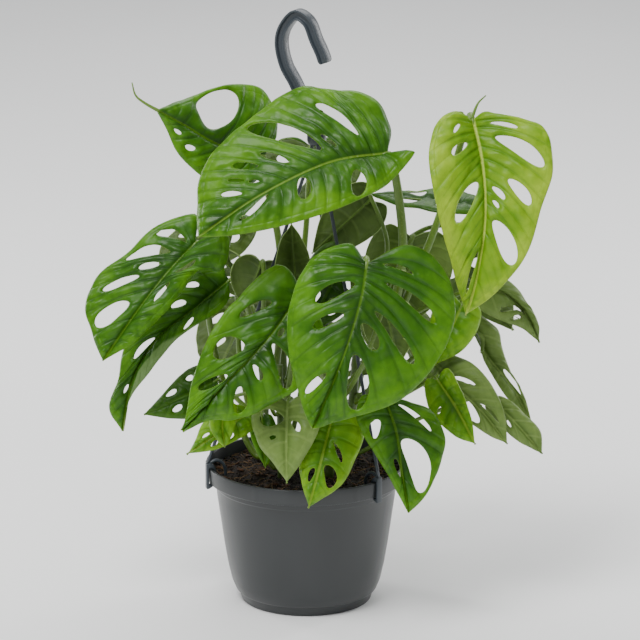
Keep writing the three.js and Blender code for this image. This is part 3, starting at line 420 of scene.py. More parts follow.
        left=[(-18, -32, 274), (-26, -36, 294), (-22, -34, 316)],
        right=[(2, -32, 274), (8, -36, 294), (0, -34, 316)],
        slots=UNCUT,
    ),
    "inner_left": dict(
        skin="under",
        stem="left", height=205, dark=True, base=(-37, -2, 296), tip=(-52, 4, 253), facing=(0, 0.9, 0.3),
        width=44,
        slots=UNCUT,
    ),
    "inner_right": dict(
        skin="under",
        stem="right", height=215, dark=True, via=[(64, 2, 280), (68, 0, 312)], base=(55, 6, 347),
        tip=(5, 6, 300), facing=(0.2, 0.9, -0.35), width=50,
        slots=UNCUT,
    ),
    "inner_low": dict(
        stem="front_right", height=208, dark=True, via=[(40, -24, 250)], base=(34, -12, 303),
        tip=(-2, -18, 234), facing=(0.1, -0.9, 0.3), width=52,
    ),
    "inner_middle": dict(
        stem="front_right", height=187, dark=True, via=[(48, -64, 225)], base=(66, -50, 270),
        tip=(77, -52, 218), facing=(0, 0.95, 0.2), width=46,
        slots=UNCUT,
    ),
    "right_middle": dict(
        skin="fresh",
        stem="front_right", height=197, pale=True, via=[(60, -26, 222), (96, -22, 238)],
        base=(131, -15, 262), tip=(108, -28, 212), facing=(0.1, -0.9, 0.3), width=42,
        slots=UNCUT,
    ),
    "inner_grey": dict(
        skin="under",
        stem="back_left", height=190, dark=True, base=(-48, 33, 262), tip=(-82, 17, 308),
        facing=(0.3, 0.8, 0.4), width=44,
    ),
    "back_right_high": dict(
        stem="back_right", height=203, base=(90, 42, 306), tip=(80, 46, 219), facing=(0.05, 0.95, 0.25),
        width=76,
        slots=UNCUT,
    ),
    "back_flat": dict(
        stem="back_right", height=196, via=[(60, 64, 270), (100, 72, 304)], dark=True, base=(141, 62, 328),
        tip=(53, 82, 334), facing=(-0.05, -0.05, 1), width=58,
    ),
    "back_top": dict(
        stem="back_left", height=205, via=[(0, 60, 310)], stalk=2.2, base=(4, 66, 380), tip=(8, 140, 300),
        facing=(0.05, 0.7, 0.7), width=84,
    ),
    "back_left_high": dict(
        stem="back_left", height=180, via=[(-52, 50, 246), (-68, 55, 285)], stalk=2.2, base=(-70, 62, 314),
        tip=(-120, 110, 240), facing=(-0.4, 0.8, 0.5), width=84,
    ),
    "back_left_low": dict(
        stem="back_left", height=150, via=[(-32, 60, 188)], stalk=2, base=(-48, 68, 240),
        tip=(-80, 122, 158), facing=(-0.3, 0.85, 0.35), width=78,
    ),
    "back_middle": dict(
        stem="back_left", height=130, via=[(-2, 62, 180)], stalk=1.9, base=(6, 84, 236), tip=(14, 136, 152),
        facing=(0, 0.9, 0.4), width=70,
    ),
    "back_right_low": dict(
        stem="back_right", height=140, stalk=2, base=(70, 74, 232), tip=(112, 116, 146),
        facing=(0.4, 0.85, 0.35), width=76,
    ),
    "back_right_side": dict(
        stem="back_right", height=172, stalk=2, dark=True, base=(122, 74, 284), tip=(180, 92, 210),
        facing=(0.5, 0.75, 0.4), width=76,
    ),
}

# For each kind of face: its material, then the colours of its deep, middle and light tissue and of its
# veins, its roughness, its midrib's width in mm and strength, and whether its veins are raised.
LEAF_FACES = {
    "leaf": ("waxy_leaf", "153800", "2a5a00", "568c00", "648c14", 0.38, (1.8, 0.4)),
    "pale_rib": ("waxy_leaf_pale_rib", "173c00", "2e5e00", "5c9000", "74962a", 0.38, (1.7, 0.6)),
    "fresh": ("fresh_leaf", "2f5c00", "4f8200", "7cab0a", "94b034", 0.4, (1.7, 0.45)),
    "young_leaf": ("young_leaf", "3a6c00", "679400", "a0c028", "b4c850", 0.42, (2.4, 0.8)),
    # shaded_leaf and shaded_under are darker copies of leaf and under: painted shade for leaves in the shadow
    # of others.
    "shaded_leaf": ("shaded_leaf", "163800", "264e00", "446e0c", "4a7418", 0.42, (2.4, 0.45)),
    "under": ("leaf_underside", "445e22", "5c7632", "789248", "88a056", 0.45, (2, 0.5), True),
    "shaded_under": ("shaded_underside", "3c5422", "4e642c", "66803c", "748c4a", 0.5, (2, 0.5), True),
}

# Place and size in metres, and power as a share of the main light's.
LIGHTS = {
    "key": ((-0.7, -1.2, 2.5), (1.1, 1.1), 1),
    "left_strip": ((-1.3, 1.0, 0.7), (0.25, 1.3), 0.15),
    "right_strip": ((1.3, 1.0, 0.7), (0.25, 1.3), 0.15),
    "back": ((0.3, 1.8, 2.2), (1.8, 1.8), 0.5),
}
LIT_POINT = Vector((0.012, 0, 0.25))
VIEW_TARGET = Vector((0.0118, 0, 0.244))
VIEW_DISTANCE = 3.5
VIEW_RISE = math.radians(15.5)
VIEW_LENS = 233.9


# ---------------------------------------------------------------- colours and nodes


def linear(hex_colour):
    """An sRGB hex colour as linear red, green, blue and alpha."""
    values = [int(hex_colour[i : i + 2], 16) / 255 for i in (0, 2, 4)]
    return tuple(v / 12.92 if v <= 0.04045 else ((v + 0.055) / 1.055) ** 2.4 for v in values) + (1,)


def set_inputs(tree, node, inputs):
    """Sets inputs, named or in order, to a value, or links them to a socket or to a node's first output."""
    for key, value in inputs.items() if isinstance(inputs, dict) else enumerate(inputs):
        if isinstance(value, bpy.types.Node):
            value = value.outputs[0]
        if isinstance(value, bpy.types.NodeSocket):
            tree.links.new(value, node.inputs[key])
        else:
            node.inputs[key].default_value = value


def add_node(tree, kind, inputs=(), stops=(), **settings):
    """Adds a node with its settings, its inputs and the stops of its colour ramp."""
    node = tree.nodes.new(kind)
    for name, value in settings.items():
        setattr(node, name, value)
    for _ in stops[2:]:
        node.color_ramp.elements.new(1)
    for k, (place, colour) in enumerate(stops):
        node.color_ramp.elements[k].position = place
        node.color_ramp.elements[k].color = colour
    set_inputs(tree, node, inputs)
    return node


def new_material(name):
    """A node material with its tree, its joined shader and the place on the piece, for patterns."""
    material = bpy.data.materials.new(name)
    material.use_nodes = True
    tree = material.node_tree
    tree.nodes.clear()
    shader = add_node(tree, "ShaderNodeBsdfPrincipled")
    add_node(tree, "ShaderNodeOutputMaterial", {"Surface": shader})
    return material, tree, shader, add_node(tree, "ShaderNodeTexCoord").outputs["Object"]


def uneven(tree, colour, pattern, low, high, start=0.3, end=0.7):
    """The colour times low where the pattern is at start, up to high where it is at end."""
    factor = add_node(tree, "ShaderNodeMapRange", [pattern, start, end, low, high])
    return add_node(tree, "ShaderNodeHueSaturation", {"Color": colour, "Value": factor})


# ---------------------------------------------------------------- materials

# Patterns have so many features to a metre, so a scale of 200 puts them 5 mm apart.


def leaf_skin(name, deep, mid, light, vein, gloss, rib, raised=False):
    """Face of a living monstera leaf: quilted tissue between veins, under a thin waxy cuticle.

    On the upper face the veins are sunken, with painted shade darkening their grooves, and the wax gives a
    broad soft sheen. On the underside the veins stand out pale. The tissue puckers every 4 to 5 mm, with a
    painted highlight lightening the crests of its swellings, and the colour runs from deep green by the
    midrib to a lightly mottled yellow-green near the margin. The pale line along the rim is partly the thin
    edge's own colour and partly a painted highlight.
    """
    material, tree, shader, place = new_material(name)
    deep, mid, light, vein, turned = map(linear, (deep, mid, light, vein, "6f8f50"))
    measure = {
        key: add_node(tree, "ShaderNodeAttribute", attribute_name=key).outputs["Fac"]
        for key in ("vein", "lesser", "rib", "rim", "margin", "across", "puff", "turned")
    }
    patches = add_node(tree, "ShaderNodeTexNoise", {"Vector": place, "Scale": 38, "Detail": 5,
                                                    "Roughness": 0.55})
    pucker = add_node(tree, "ShaderNodeTexVoronoi", {"Vector": place, "Scale": 215, "Randomness": 0.9},
                      feature="SMOOTH_F1")
    fine = add_node(tree, "ShaderNodeTexNoise", {"Vector": place, "Scale": 900, "Detail": 2})
    off_vein = add_node(tree, "ShaderNodeMath", [measure["margin"], -MARGIN_VEIN], operation="ADD")
    beside = add_node(tree, "ShaderNodeMath", [off_vein], operation="ABSOLUTE")
    # Each mask holds its strength up to the first distance and has faded to nothing at the second.
    mask = {
        key: add_node(tree, "ShaderNodeMapRange", [distance, full, gone, strength, 0],
                      interpolation_type="SMOOTHSTEP")
        for key, distance, full, gone, strength in (
            ("cells", pucker, 0.15, 0.62, 1),
            ("vein", measure["vein"], 0.2, 1.8, 0.32),
            ("lesser", measure["lesser"], 0.1, 1.4, 0.13),
            ("margin_vein", beside, 0.1, 1.1, 0.1),
            ("inside", measure["across"], 0.6, 1.4, 1),
            ("rib", measure["rib"], 0.3 * rib[0], rib[0], rib[1]),
            ("rim", measure["rim"], 0.1, 0.9, 0.4),
        )
    }
    outward = add_node(tree, "ShaderNodeMapRange", [measure["across"], 0.05, 0.9, 0, 0.42])
    spread = add_node(tree, "ShaderNodeMath", [patches, outward], operation="ADD")
    tone = add_node(tree, "ShaderNodeMapRange", [spread, 0.32, 1.1, 0, 1])
    body = add_node(tree, "ShaderNodeValToRGB", [tone], [(0, deep), (0.5, mid), (1, light)])
    near_edge = add_node(tree, "ShaderNodeMapRange", [measure["margin"], 3, 15, 0.42, 0.05])
    spots = add_node(tree, "ShaderNodeMath", [mask["cells"], near_edge], operation="MULTIPLY")
    # The crests of the quilting are lightened towards the light green: a painted highlight where the
    # swellings face the light. It is added to the paler mottles near the margin, which are the leaf's own
    # colour.
    painted_crest_highlight = add_node(tree, "ShaderNodeMapRange", [measure["puff"], 0.4, 1.1, 0, 0.22])
    mottles_and_crest_highlight = add_node(tree, "ShaderNodeMath", [spots, painted_crest_highlight], operation="ADD")
    net = add_node(tree, "ShaderNodeMath", [near_edge, spots], operation="SUBTRACT")
    netted = add_node(tree, "ShaderNodeMath", [net, 0.3], operation="MULTIPLY")
    # On the upper face the vein, lesser-vein and margin-vein grooves are darkened towards the deep green:
    # painted shade in the sunken veins. On the underside the same mask gives the raised veins their own paler
    # colour.
    groove = mask["vein"]
    for key in ("lesser", "margin_vein"):
        groove = add_node(tree, "ShaderNodeMath", [groove, mask[key]], operation="MAXIMUM")
    depth = add_node(tree, "ShaderNodeMath", [groove, mask["inside"]], operation="MULTIPLY")
    colour = body.outputs[0]
    # The rim mask lays a pale line along every edge: partly the thin edge's own paler colour, partly a
    # painted highlight along the lit rim.
    for cover, over in (
        (mottles_and_crest_highlight, light), (netted, deep), (depth, vein if raised else deep), (mask["rib"], vein),
        (mask["rim"], vein), (measure["turned"], turned),
    ):
        colour = add_node(tree, "ShaderNodeMix", {0: cover, 6: colour, 7: over}, data_type="RGBA").outputs[2]
    relief = 1.1 if raised else -1.6
    puffed = add_node(tree, "ShaderNodeMath", [mask["cells"], 0.18], operation="MULTIPLY")
    creased = add_node(tree, "ShaderNodeMath", [depth, relief, puffed], operation="MULTIPLY_ADD")
    grain = add_node(tree, "ShaderNodeMath", [fine, 0.06, creased], operation="MULTIPLY_ADD")
    bump = add_node(tree, "ShaderNodeBump", {"Height": grain, "Strength": 0.8, "Distance": 0.001})
    wax = add_node(tree, "ShaderNodeMapRange", [patches, 0.3, 0.7, gloss - 0.04, gloss + 0.08])
    set_inputs(tree, shader, {"Base Color": colour, "Roughness": wax, "Normal": bump, "IOR": 1.45,
                              "Specular IOR Level": 0.3})
    return material


def leaf_edge(name, colour):
    """The cut-looking rim of blade and slots, where the tissue thins to a pale callus; its paleness is partly
    a painted highlight along the lit edge.
    """
    material, tree, shader, place = new_material(name)
    patches = add_node(tree, "ShaderNodeTexNoise", {"Vector": place, "Scale": 120})
    shade = uneven(tree, linear(colour), patches, 0.8, 1.15, 0, 1)
    set_inputs(tree, shader, {"Base Color": shade, "Roughness": 0.5})
    return material


def petiole_skin(name, colour, fleck_colour):
    """Skin of stalks and vines: smooth waxy green with fine lengthwise flecks."""
    material, tree, shader, place = new_material(name)
    flecks = add_node(tree, "ShaderNodeTexNoise", {"Vector": place, "Scale": 600, "Detail": 3})
    patches = add_node(tree, "ShaderNodeTexNoise", {"Vector": place, "Scale": 40, "Detail": 2})
    speck = add_node(tree, "ShaderNodeMapRange", [flecks, 0.55, 0.75, 0, 0.5])
    shade = uneven(tree, linear(colour), patches, 0.8, 1.15)
    mixed = add_node(tree, "ShaderNodeMix", {0: speck, 6: shade, 7: linear(fleck_colour)}, data_type="RGBA")
    bump = add_node(tree, "ShaderNodeBump", {"Height": flecks, "Strength": 0.2, "Distance": 0.0003})
    set_inputs(tree, shader, {"Base Color": mixed.outputs[2], "Normal": bump, "Roughness": 0.42})
    return material


def moulded_polypropylene(name, colour, roughness, streaks):
    """Injection-moulded polypropylene: satin, with faint flow marks where the melt ran down the wall."""
    material, tree, shader, place = new_material(name)
    stretched = add_node(tree, "ShaderNodeMapping", {"Vector": place, "Scale": (60, 60, 9)})
    flow = add_node(tree, "ShaderNodeTexNoise", {"Vector": stretched, "Scale": 1, "Detail": 3,
                                                 "Distortion": 0.6})
    grain = add_node(tree, "ShaderNodeTexNoise", {"Vector": place, "Scale": 1800, "Detail": 2})
    shade = uneven(tree, colour, flow, 1 - streaks, 1 + streaks)
    dull = add_node(tree, "ShaderNodeMapRange", [flow, 0.35, 0.65, roughness - 0.04, roughness + 0.04])
    bump = add_node(tree, "ShaderNodeBump", {"Height": grain, "Strength": 0.12, "Distance": 0.0002})
    set_inputs(tree, shader, {"Base Color": shade, "Roughness": dull, "Normal": bump, "IOR": 1.49})
    return material


def damp_compost(name, dark, brown):
    """Peat and bark compost, damp: dark crumbs 1 to 3 mm across with browner dry spots."""
    material, tree, shader, place = new_material(name)
    crumbs = add_node(tree, "ShaderNodeTexVoronoi", {"Vector": place, "Scale": 420})
    patches = add_node(tree, "ShaderNodeTexNoise", {"Vector": place, "Scale": 90, "Detail": 5,
                                                    "Roughness": 0.7})
    stops = [(0.4, linear(dark)), (0.7, linear(brown))]
    tone = add_node(tree, "ShaderNodeValToRGB", [patches], stops)
    bump = add_node(tree, "ShaderNodeBump", {"Height": crumbs, "Strength": 0.9, "Distance": 0.0012},
                    invert=True)
    set_inputs(tree, shader, {"Base Color": tone, "Normal": bump, "Roughness": 0.92})
    return material


def dry_fibre(name, dark, light):
    """Bark and root fibre: dry, stringy and matt, each piece its own brown."""
    material, tree, shader, place = new_material(name)
    patches = add_node(tree, "ShaderNodeTexNoise", {"Vector": place, "Scale": 160, "Detail": 3})
    stops = [(0.35, linear(dark)), (0.65, linear(light))]
    tone = add_node(tree, "ShaderNodeValToRGB", [patches], stops)
    bump = add_node(tree, "ShaderNodeBump", {"Height": patches, "Strength": 0.4, "Distance": 0.0005})
    set_inputs(tree, shader, {"Base Color": tone, "Normal": bump, "Roughness": 0.85})
    return material


def studio_floor(name, colour):
    """Matt painted floor, faintly uneven."""
    material, tree, shader, place = new_material(name)
    patches = add_node(tree, "ShaderNodeTexNoise", {"Vector": place, "Scale": 3})
    shade = uneven(tree, colour, patches, 0.98, 1.02, 0, 1)
    set_inputs(tree, shader, {"Base Color": shade, "Roughness": 0.9})
    return material


# ---------------------------------------------------------------- shaping tools


def curve_points(points, t, knot=0.0):
    """Points of a Catmull-Rom curve at t from 0 to 1: knot 0 is uniform, 0.5 centripetal."""
    p = np.array(points, float)
    p = np.vstack([2 * p[0] - p[1], p, 2 * p[-1] - p[-2]])
    place = np.clip(np.asarray(t, float), 0, 1) * (len(p) - 3)
    i = np.minimum(place.astype(int), len(p) - 4)
    w = (place - i)[..., None]
    a, b, c, d = p[i], p[i + 1], p[i + 2], p[i + 3]
    spans = (b - a, c - b, d - c)
    gap = [np.maximum(np.linalg.norm(span, axis=-1), 1e-6)[..., None] ** knot for span in spans]
    leave = ((b - a) / gap[0] - (c - a) / (gap[0] + gap[1]) + (c - b) / gap[1]) * gap[1]
    arrive = ((c - b) / gap[1] - (d - b) / (gap[1] + gap[2]) + (d - c) / gap[2]) * gap[1]
    return b + leave * w + (3 * (c - b) - 2 * leave - arrive) * w**2 + (2 * (b - c) + leave + arrive) * w**3


def unit(v):
    """The same direction at length one."""
    return v / np.linalg.norm(v)


def sweep(bm, outline, path, widths, side):
    """A closed body: the outline drawn along a path, its width given at each point of the path."""
    path = np.array(path, float)
    tangents = np.gradient(path, axis=0)
    tangents /= np.linalg.norm(tangents, axis=1)[:, None]
    matrices = []
    side = np.array(side, float)
    for point, tangent, width in zip(path, tangents, widths):
        side = unit(side - tangent * np.dot(side, tangent))
        other = np.cross(tangent, side)
        columns = [side * width, other * width, tangent, point]
        matrices.append(Matrix([[*(float(c[k]) for c in columns)] for k in range(3)] + [[0, 0, 0, 1]]))
    corners = [bm.verts.new(matrices[0] @ Vector((x, y, 0))) for x, y in outline]
    first = bm.faces.new(corners[::-1])
    edges = list(first.edges)
    now = matrices[0]
    for matrix in matrices[1:]:
        made = bmesh.ops.extrude_edge_only(bm, edges=edges)["geom"]
        verts = {g for g in made if isinstance(g, bmesh.types.BMVert)}
        edges = [g for g in made if isinstance(g, bmesh.types.BMEdge) and verts.issuperset(g.verts)]
        bmesh.ops.transform(bm, matrix=matrix @ now.inverted(), verts=list(verts))
        now = matrix
    bmesh.ops.holes_fill(bm, edges=edges, sides=0)


def circle(sides):
    """Corners of a regular outline of radius one."""
    return [(math.cos(2 * math.pi * k / sides), math.sin(2 * math.pi * k / sides)) for k in range(sides)]


def spun(bm, profile, steps):
    """Turns a profile of (radius, height) about the Z axis into a closed body."""
    verts = [bm.verts.new((r, 0, z)) for r, z in profile]
    edges = [bm.edges.new(pair) for pair in zip(verts, verts[1:])]
    bmesh.ops.spin(bm, geom=verts + edges, axis=(0, 0, 1), cent=(0, 0, 0), angle=2 * math.pi, steps=steps,
                   use_merge=True)
    bmesh.ops.remove_doubles(bm, verts=bm.verts, dist=1e-4)
    bmesh.ops.recalc_face_normals(bm, faces=bm.faces)


def soften(bm, width, angle=0.45, segments=2):
    """Rounds every edge sharper than the angle, as a mould does."""
    sharp = [e for e in bm.edges if len(e.link_faces) == 2 and e.calc_face_angle() > angle]
    bmesh.ops.bevel(bm, geom=sharp, offset=width, affect="EDGES", segments=segments, profile=0.5, material=-1,
                    clamp_overlap=True)


def finish_piece(bm, name, materials, node, thickness=None):
    """Makes the shape an object in metres that rides on the plant and stands for its node."""
    bmesh.ops.scale(bm, vec=(0.001, 0.001, 0.001), verts=bm.verts)
    mesh = bpy.data.meshes.new(name)
    bm.to_mesh(mesh)
    bm.free()
    mesh.shade_smooth()
    piece = bpy.data.objects.new(name, mesh)
    bpy.context.scene.collection.objects.link(piece)
    for material in materials:
        mesh.materials.append(material)
    if thickness:
        wall = piece.modifiers.new("Thickness", "SOLIDIFY")
        wall.thickness = thickness
        wall.offset = -1
        wall.material_offset = 1
        wall.material_offset_rim = 2
        wall.use_even_offset = False
    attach(piece, "root")
    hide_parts(node)


# ---------------------------------------------------------------- leaf shape


def complete(leaf):
    """The leaf's values with the ordinary ones filled in."""
    full = dict(
        stalk=1.8, via=[], midrib=[], veins=(5, 5), slant=1.5, reach=(0.16, 0.16), lag=(1, 1), buckle=1,
        slots=[ORDINARY_SLOTS, ORDINARY_SLOTS], pale=False, dark=False, fine=False,
    )
    if "width" in leaf:
        base, tip = np.array(leaf["base"], float), np.array(leaf["tip"], float)
        length = tip - base
        across = unit(np.cross(leaf["facing"], length))
        full["veins"] = (4, 4)
        for key, sign in (("left", -1), ("right", 1)):
            wide = sign * leaf["width"]
            full[key] = [tuple(base + length * down + across * wide * out) for down, out in HEART]
    full.update(leaf)
    full["stops"] = [
        [k / veins for k in range(veins + 1)] if isinstance(veins, int) else [0, *veins, 1]
        for veins in full["veins"]
    ]
    return full


def blade_axes(leaf):
    """The way from the base to the tip, and the way that the blade faces."""
    along = unit(np.subtract(leaf["tip"], leaf["base"]).astype(float))
    left, right = (np.array(leaf[key][len(leaf[key]) // 2], float) for key in ("left", "right"))
    return along, unit(np.cross(along, right - left))


def blade_surface(leaf, x, part):
    """Points of the blade: x runs from -1 at the left margin to 1 at the right, part from base to tip."""
    along, facing = blade_axes(leaf)
    ends = [leaf["base"]], [leaf["tip"]]
    margins = [ends[0] + leaf[key] + ends[1] for key in ("left", "right")]
    rib = ends[0] + leaf["midrib"] + ends[1]
    right = x > 0
    reach = np.where(right, leaf["reach"][1], leaf["reach"][0])
    lag = np.where(right, leaf["lag"][1], leaf["lag"][0])

    def margin(t):
        return np.where(right[:, None], curve_points(margins[1], t), curve_points(margins[0], t))

    inner = curve_points(rib, part ** leaf["slant"])
    outer = margin(reach + (1 - reach) * part**lag)
    width = np.linalg.norm(outer - inner, axis=1)[:, None]
    middle = (inner + outer) / 2 - along * VEIN_SWEEP * width
    u = np.abs(x)[:, None]
    points = (1 - u) ** 2 * inner + 2 * u * (1 - u) * middle + u**2 * outer
    points += facing * DROOP * 4 * u * (1 - u) * np.minimum(1, width / SAG_WIDTH)
    lobe = margin(reach * u[:, 0]) + (inner - np.array(leaf["base"], float)) * (1 - u)
    blend = np.clip(1 - part / LOBE, 0, 1)[:, None] ** 2
    return points * (1 - blend) + lobe * blend


def cut_slots(bm, leaf):
    """Snaps the grid to each slot's edge and takes out what lies inside."""
    for side, sign in enumerate((-1, 1)):
        stops = leaf["stops"][side]
        for cell, start, end, gape, lean in [(*slot, 0)[:5] for slot in leaf["slots"][side]]:
            middle, half = (start + end) / 2, (end - start) / 2
            low, high = stops[cell], stops[cell + 1]
            reach = {}
            for v in bm.verts:
                out = (sign * v.co.x - middle) / half
                if abs(out) <= SLOT_SNAP:
                    down = 2 * (v.co.y - low) / (high - low) - 1 - lean * out
                    down /= gape * (1 + SLOT_FLARE * out)
                    if math.hypot(out, down) < SLOT_SNAP:
                        reach[v] = Vector((out, down))
            faces = {f for v in reach for f in v.link_faces}
            inside = [f for f in faces if all(v in reach for v in f.verts)]
            if not inside:
                continue
            crossed = faces - set(inside)
            for v in {v for f in crossed for v in f.verts if v in reach}:
                out, down = reach[v].normalized()
                v.co.x = sign * (middle + half * out)
                v.co.y = low + (high - low) * (1 + lean * out + gape * (1 + SLOT_FLARE * out) * down) / 2
            bmesh.ops.delete(bm, geom=inside, context="FACES")


def vein_measures(leaf, x, part):
    """How far each point is, in mm, from a side vein and from a lesser one, and how high it puffs."""
    step = 0.04
    ahead, behind = (blade_surface(leaf, x, np.clip(part + shift, 0, 1)) for shift in (step / 2, -step / 2))
    speed = np.linalg.norm(ahead - behind, axis=1) / step
    to_vein, to_lesser, puff = np.zeros_like(x), np.zeros_like(x), np.zeros_like(x)
    for side in (0, 1):
        mine = (x > 0) == bool(side)
        stops = np.array(leaf["stops"][side])
        row = np.interp(part[mine], stops, range(len(stops)))
        cell = np.minimum(row.astype(int), len(stops) - 2)
        pitch = np.diff(stops)[cell] * speed[mine]
        to_vein[mine] = np.abs(row - np.clip(np.round(row), 1, len(stops) - 2)) * pitch
        usual = [pitch[cell == k].mean() if (cell == k).any() else FOLD_PITCH for k in range(len(stops) - 1)]
        folds = np.maximum(1, np.round(np.array(usual) / FOLD_PITCH))[cell]
        fold = (row - cell) * folds
        to_lesser[mine] = np.abs(fold - np.round(fold)) * pitch / folds
        large = np.abs(np.sin(np.pi * (row - cell))) ** 0.8
        small = np.abs(np.sin(np.pi * fold)) ** 0.8
        fade = 1 - 0.5 * np.abs(x[mine]) ** 3
        puff[mine] = (0.5 * large + 0.5 * small) * np.minimum(1, pitch / folds / RIPPLE) * fade
    return to_vein, to_lesser, puff


def unevenness(points, size, shift=(0, 0, 0)):
    """Smooth noise between about -1 and 1 at each point, with swellings of the given size."""
    return np.array([noise.noise(Vector(p) / size + Vector(shift)) for p in points])


def groove(distance, depth, width):
    """How deep a rounded groove is at each distance from its middle."""
    return depth * np.exp(-((distance / width) ** 2))


def blade_mesh(leaf, cell, seed, settings):
    """One blade as an open sheet with its slots, quilting and measures for the material."""
    probe = np.linspace(0, 1, 41)
    left, middle, right = (blade_surface(leaf, np.full(41, x), probe) for x in (-1.0, 0.0, 1.0))
    length = np.linalg.norm(np.diff(middle, axis=0), axis=1).sum()
    half = max(np.linalg.norm(side - middle, axis=1).max() for side in (left, right))
    bm = bmesh.new()
    bmesh.ops.create_grid(bm, x_segments=2 * max(8, round(half / cell)),
                          y_segments=max(16, round(1.15 * length / cell)), size=1)
    for v in bm.verts:
        v.co.y = (v.co.y + 1) / 2
    cut_slots(bm, leaf)
    flat = np.array([v.co[:2] for v in bm.verts])
    flat[np.abs(flat[:, 0]) < 1e-6, 0] = 0
    x, part = flat[:, 0], np.clip(flat[:, 1], 0, 1)
    u = np.abs(x)
    points = blade_surface(leaf, x, part)
    to_vein, to_lesser, puff = vein_measures(leaf, x, part)
    to_rib = np.linalg.norm(points - blade_surface(leaf, np.zeros_like(x), part), axis=1)
    to_margin = np.linalg.norm(points - blade_surface(leaf, np.where(x > 0, 1.0, -1.0), part), axis=1)
    edge = [v.index for v in bm.verts if v.is_boundary]
    tree = KDTree(len(edge))
    for k in edge:
        tree.insert(points[k], k)
    tree.balance()
    to_rim = np.array([tree.find(p)[2] for p in points])

    flatten = np.clip(to_rim / 4, 0.15, 1) * np.clip(to_rib / 6, 0, 1)
    ripple = unevenness(points, RIPPLE, (0, 0, seed))
    wave = unevenness(points, WAVE, (seed, 0, 0))
    crumple = unevenness(points, CRUMPLE, (0, seed, 0))
    pucker = unevenness(np.column_stack([to_rib / PUCKER, 0.25 * part * length, np.full_like(x, seed)]), 1)
    height = settings.quilting * 1000 * puff * flatten * (0.85 + 0.6 * ripple) + 0.16 * ripple * flatten
    grooves = groove(to_rib, *RIB_GROOVE) + groove(to_margin - MARGIN_VEIN, *MARGIN_GROOVE)
    height -= grooves * np.clip(to_rim / 3, 0, 1)
    sway = settings.waviness * 1000 * wave * u**2 + 1.5 * crumple * np.clip(to_rib / 12, 0, 1)
    height += leaf["buckle"] * sway + 0.9 * pucker * flatten
    height -= RIM_TURN * np.clip(1 - to_rim / 4, 0, 1) ** 2

    bmesh.ops.reverse_faces(bm, faces=bm.faces)
    for v, p in zip(bm.verts, points):
        v.co = p
    bm.normal_update()
    normals = np.array([v.normal for v in bm.verts])
    for v, p in zip(bm.verts, points + normals * height[:, None]):
        v.co = p
    measures = dict(vein=to_vein, lesser=to_lesser, rib=to_rib, rim=to_rim, margin=to_margin, across=u,
                    puff=puff * flatten)
    if "turned" in leaf:
        starts = np.interp(part, *zip(*leaf["turned"]))
        measures["turned"] = np.clip((u - starts) / 0.05, 0, 1) * (x > 0)
    for key, values in measures.items():
        layer = bm.verts.layers.float.new(key)
        for v, value in zip(bm.verts, values):
            v[layer] = float(value)
    bmesh.ops.remove_doubles(bm, verts=bm.verts, dist=0.01)
    return bm


def stem_axis(stem):
    """The vine's lower end, in the compost, and its top."""
    low = np.array([*stem["foot"], SOIL_EDGE + SOIL_CROWN - ROOT_DEPTH], float)
    return low, np.array(stem["top"], float)


def stalk_mesh(leaf):
    """The stalk from its stem to the blade, and the midrib that it becomes under the blade."""
    _, facing = blade_axes(leaf)
    stem = STEMS[leaf["stem"]]
    low, high = stem_axis(stem)
    part = (leaf["height"] - low[2]) / (high[2] - low[2])
    root = low + (high - low) * part
    thick = leaf["stalk"]
    base = np.array(leaf["base"], float)
    via = [np.array(p, float) for p in leaf["via"]]
    aim = (via[0] if via else base) - root
    aim[2] = 0
    aim = unit(aim)
    skin = root + aim * (stem["radius"] * (1 - STEM_TAPER * part) + 0.45)
    rib = [leaf["base"]] + leaf["midrib"] + [leaf["tip"]]
    start = unit(curve_points(rib, np.array([0.08]))[0] - base)
    end = base - (0.5 + 0.7 * thick) * facing
    route = [skin, skin + aim * 2.4 * thick, *via, base - 13 * facing - 3 * start, end, end + 6 * start]
    bm = bmesh.new()
    run = np.linspace(0, 1, 9 * len(route))
    swell = 1 + 0.35 * np.exp(-((run / 0.05) ** 2)) + 0.12 * np.exp(-(((run - 0.93) / 0.05) ** 2))
    path = curve_points(route, run, knot=0.5)
    sweep(bm, circle(10), path, thick * (1.25 - 0.55 * run**2) * swell, (0.3, 0.2, 1))
    s = np.linspace(0.002, 0.97, 40)
    width = 0.28 + (0.75 * thick - 0.28) * (1 - s) ** 1.6
    under = curve_points(rib, s ** leaf["slant"]) - facing * (0.85 + 0.95 * width)[:, None]
    sweep(bm, circle(8), under, width, facing)
    if "tail" in leaf:
        t = np.linspace(0, 1, 20)
        sweep(bm, circle(8), curve_points(leaf["tail"], t, knot=0.5), 1.6 - 1.1 * t, (0, 1, 0))
    return bm


# ---------------------------------------------------------------- settings


def length(name, description, default, low, high):
    return FloatProperty(name=name, description=description, default=default, min=low, max=high,
                         unit="LENGTH", precision=4)


def amount(name, description, default, low, high):
    return IntProperty(name=name, description=description, default=default, min=low, max=high)


def colour(name, description, hex_colour):
    return FloatVectorProperty(name=name, description=description, default=linear(hex_colour), size=4, min=0,
                               max=1, subtype="COLOR")


class PotSettings(bpy.types.PropertyGroup):
    """The plastic pot."""

    edge: length("Edge rounding", "Radius of the moulded edges", 0.0005, 0, 0.002)
    steps: amount("Steps round", "Faces round the wall", 240, 48, 360)
    plastic: colour("Plastic", "Colour of the pot", "2d3031")


class CompostSettings(bpy.types.PropertyGroup):
    """The potting compost and what lies in it."""

    crumbs: amount("Crumbs", "Loose crumbs on the surface", 1300, 0, 4000)
    chips: amount("Bark chips", "Flakes of bark on the surface", 100, 0, 600)
    fibres: amount("Fibres", "Curled root fibres", 200, 0, 400)
    crumb: length("Crumb size", "Usual size of a crumb", 0.0022, 0.0005, 0.006)


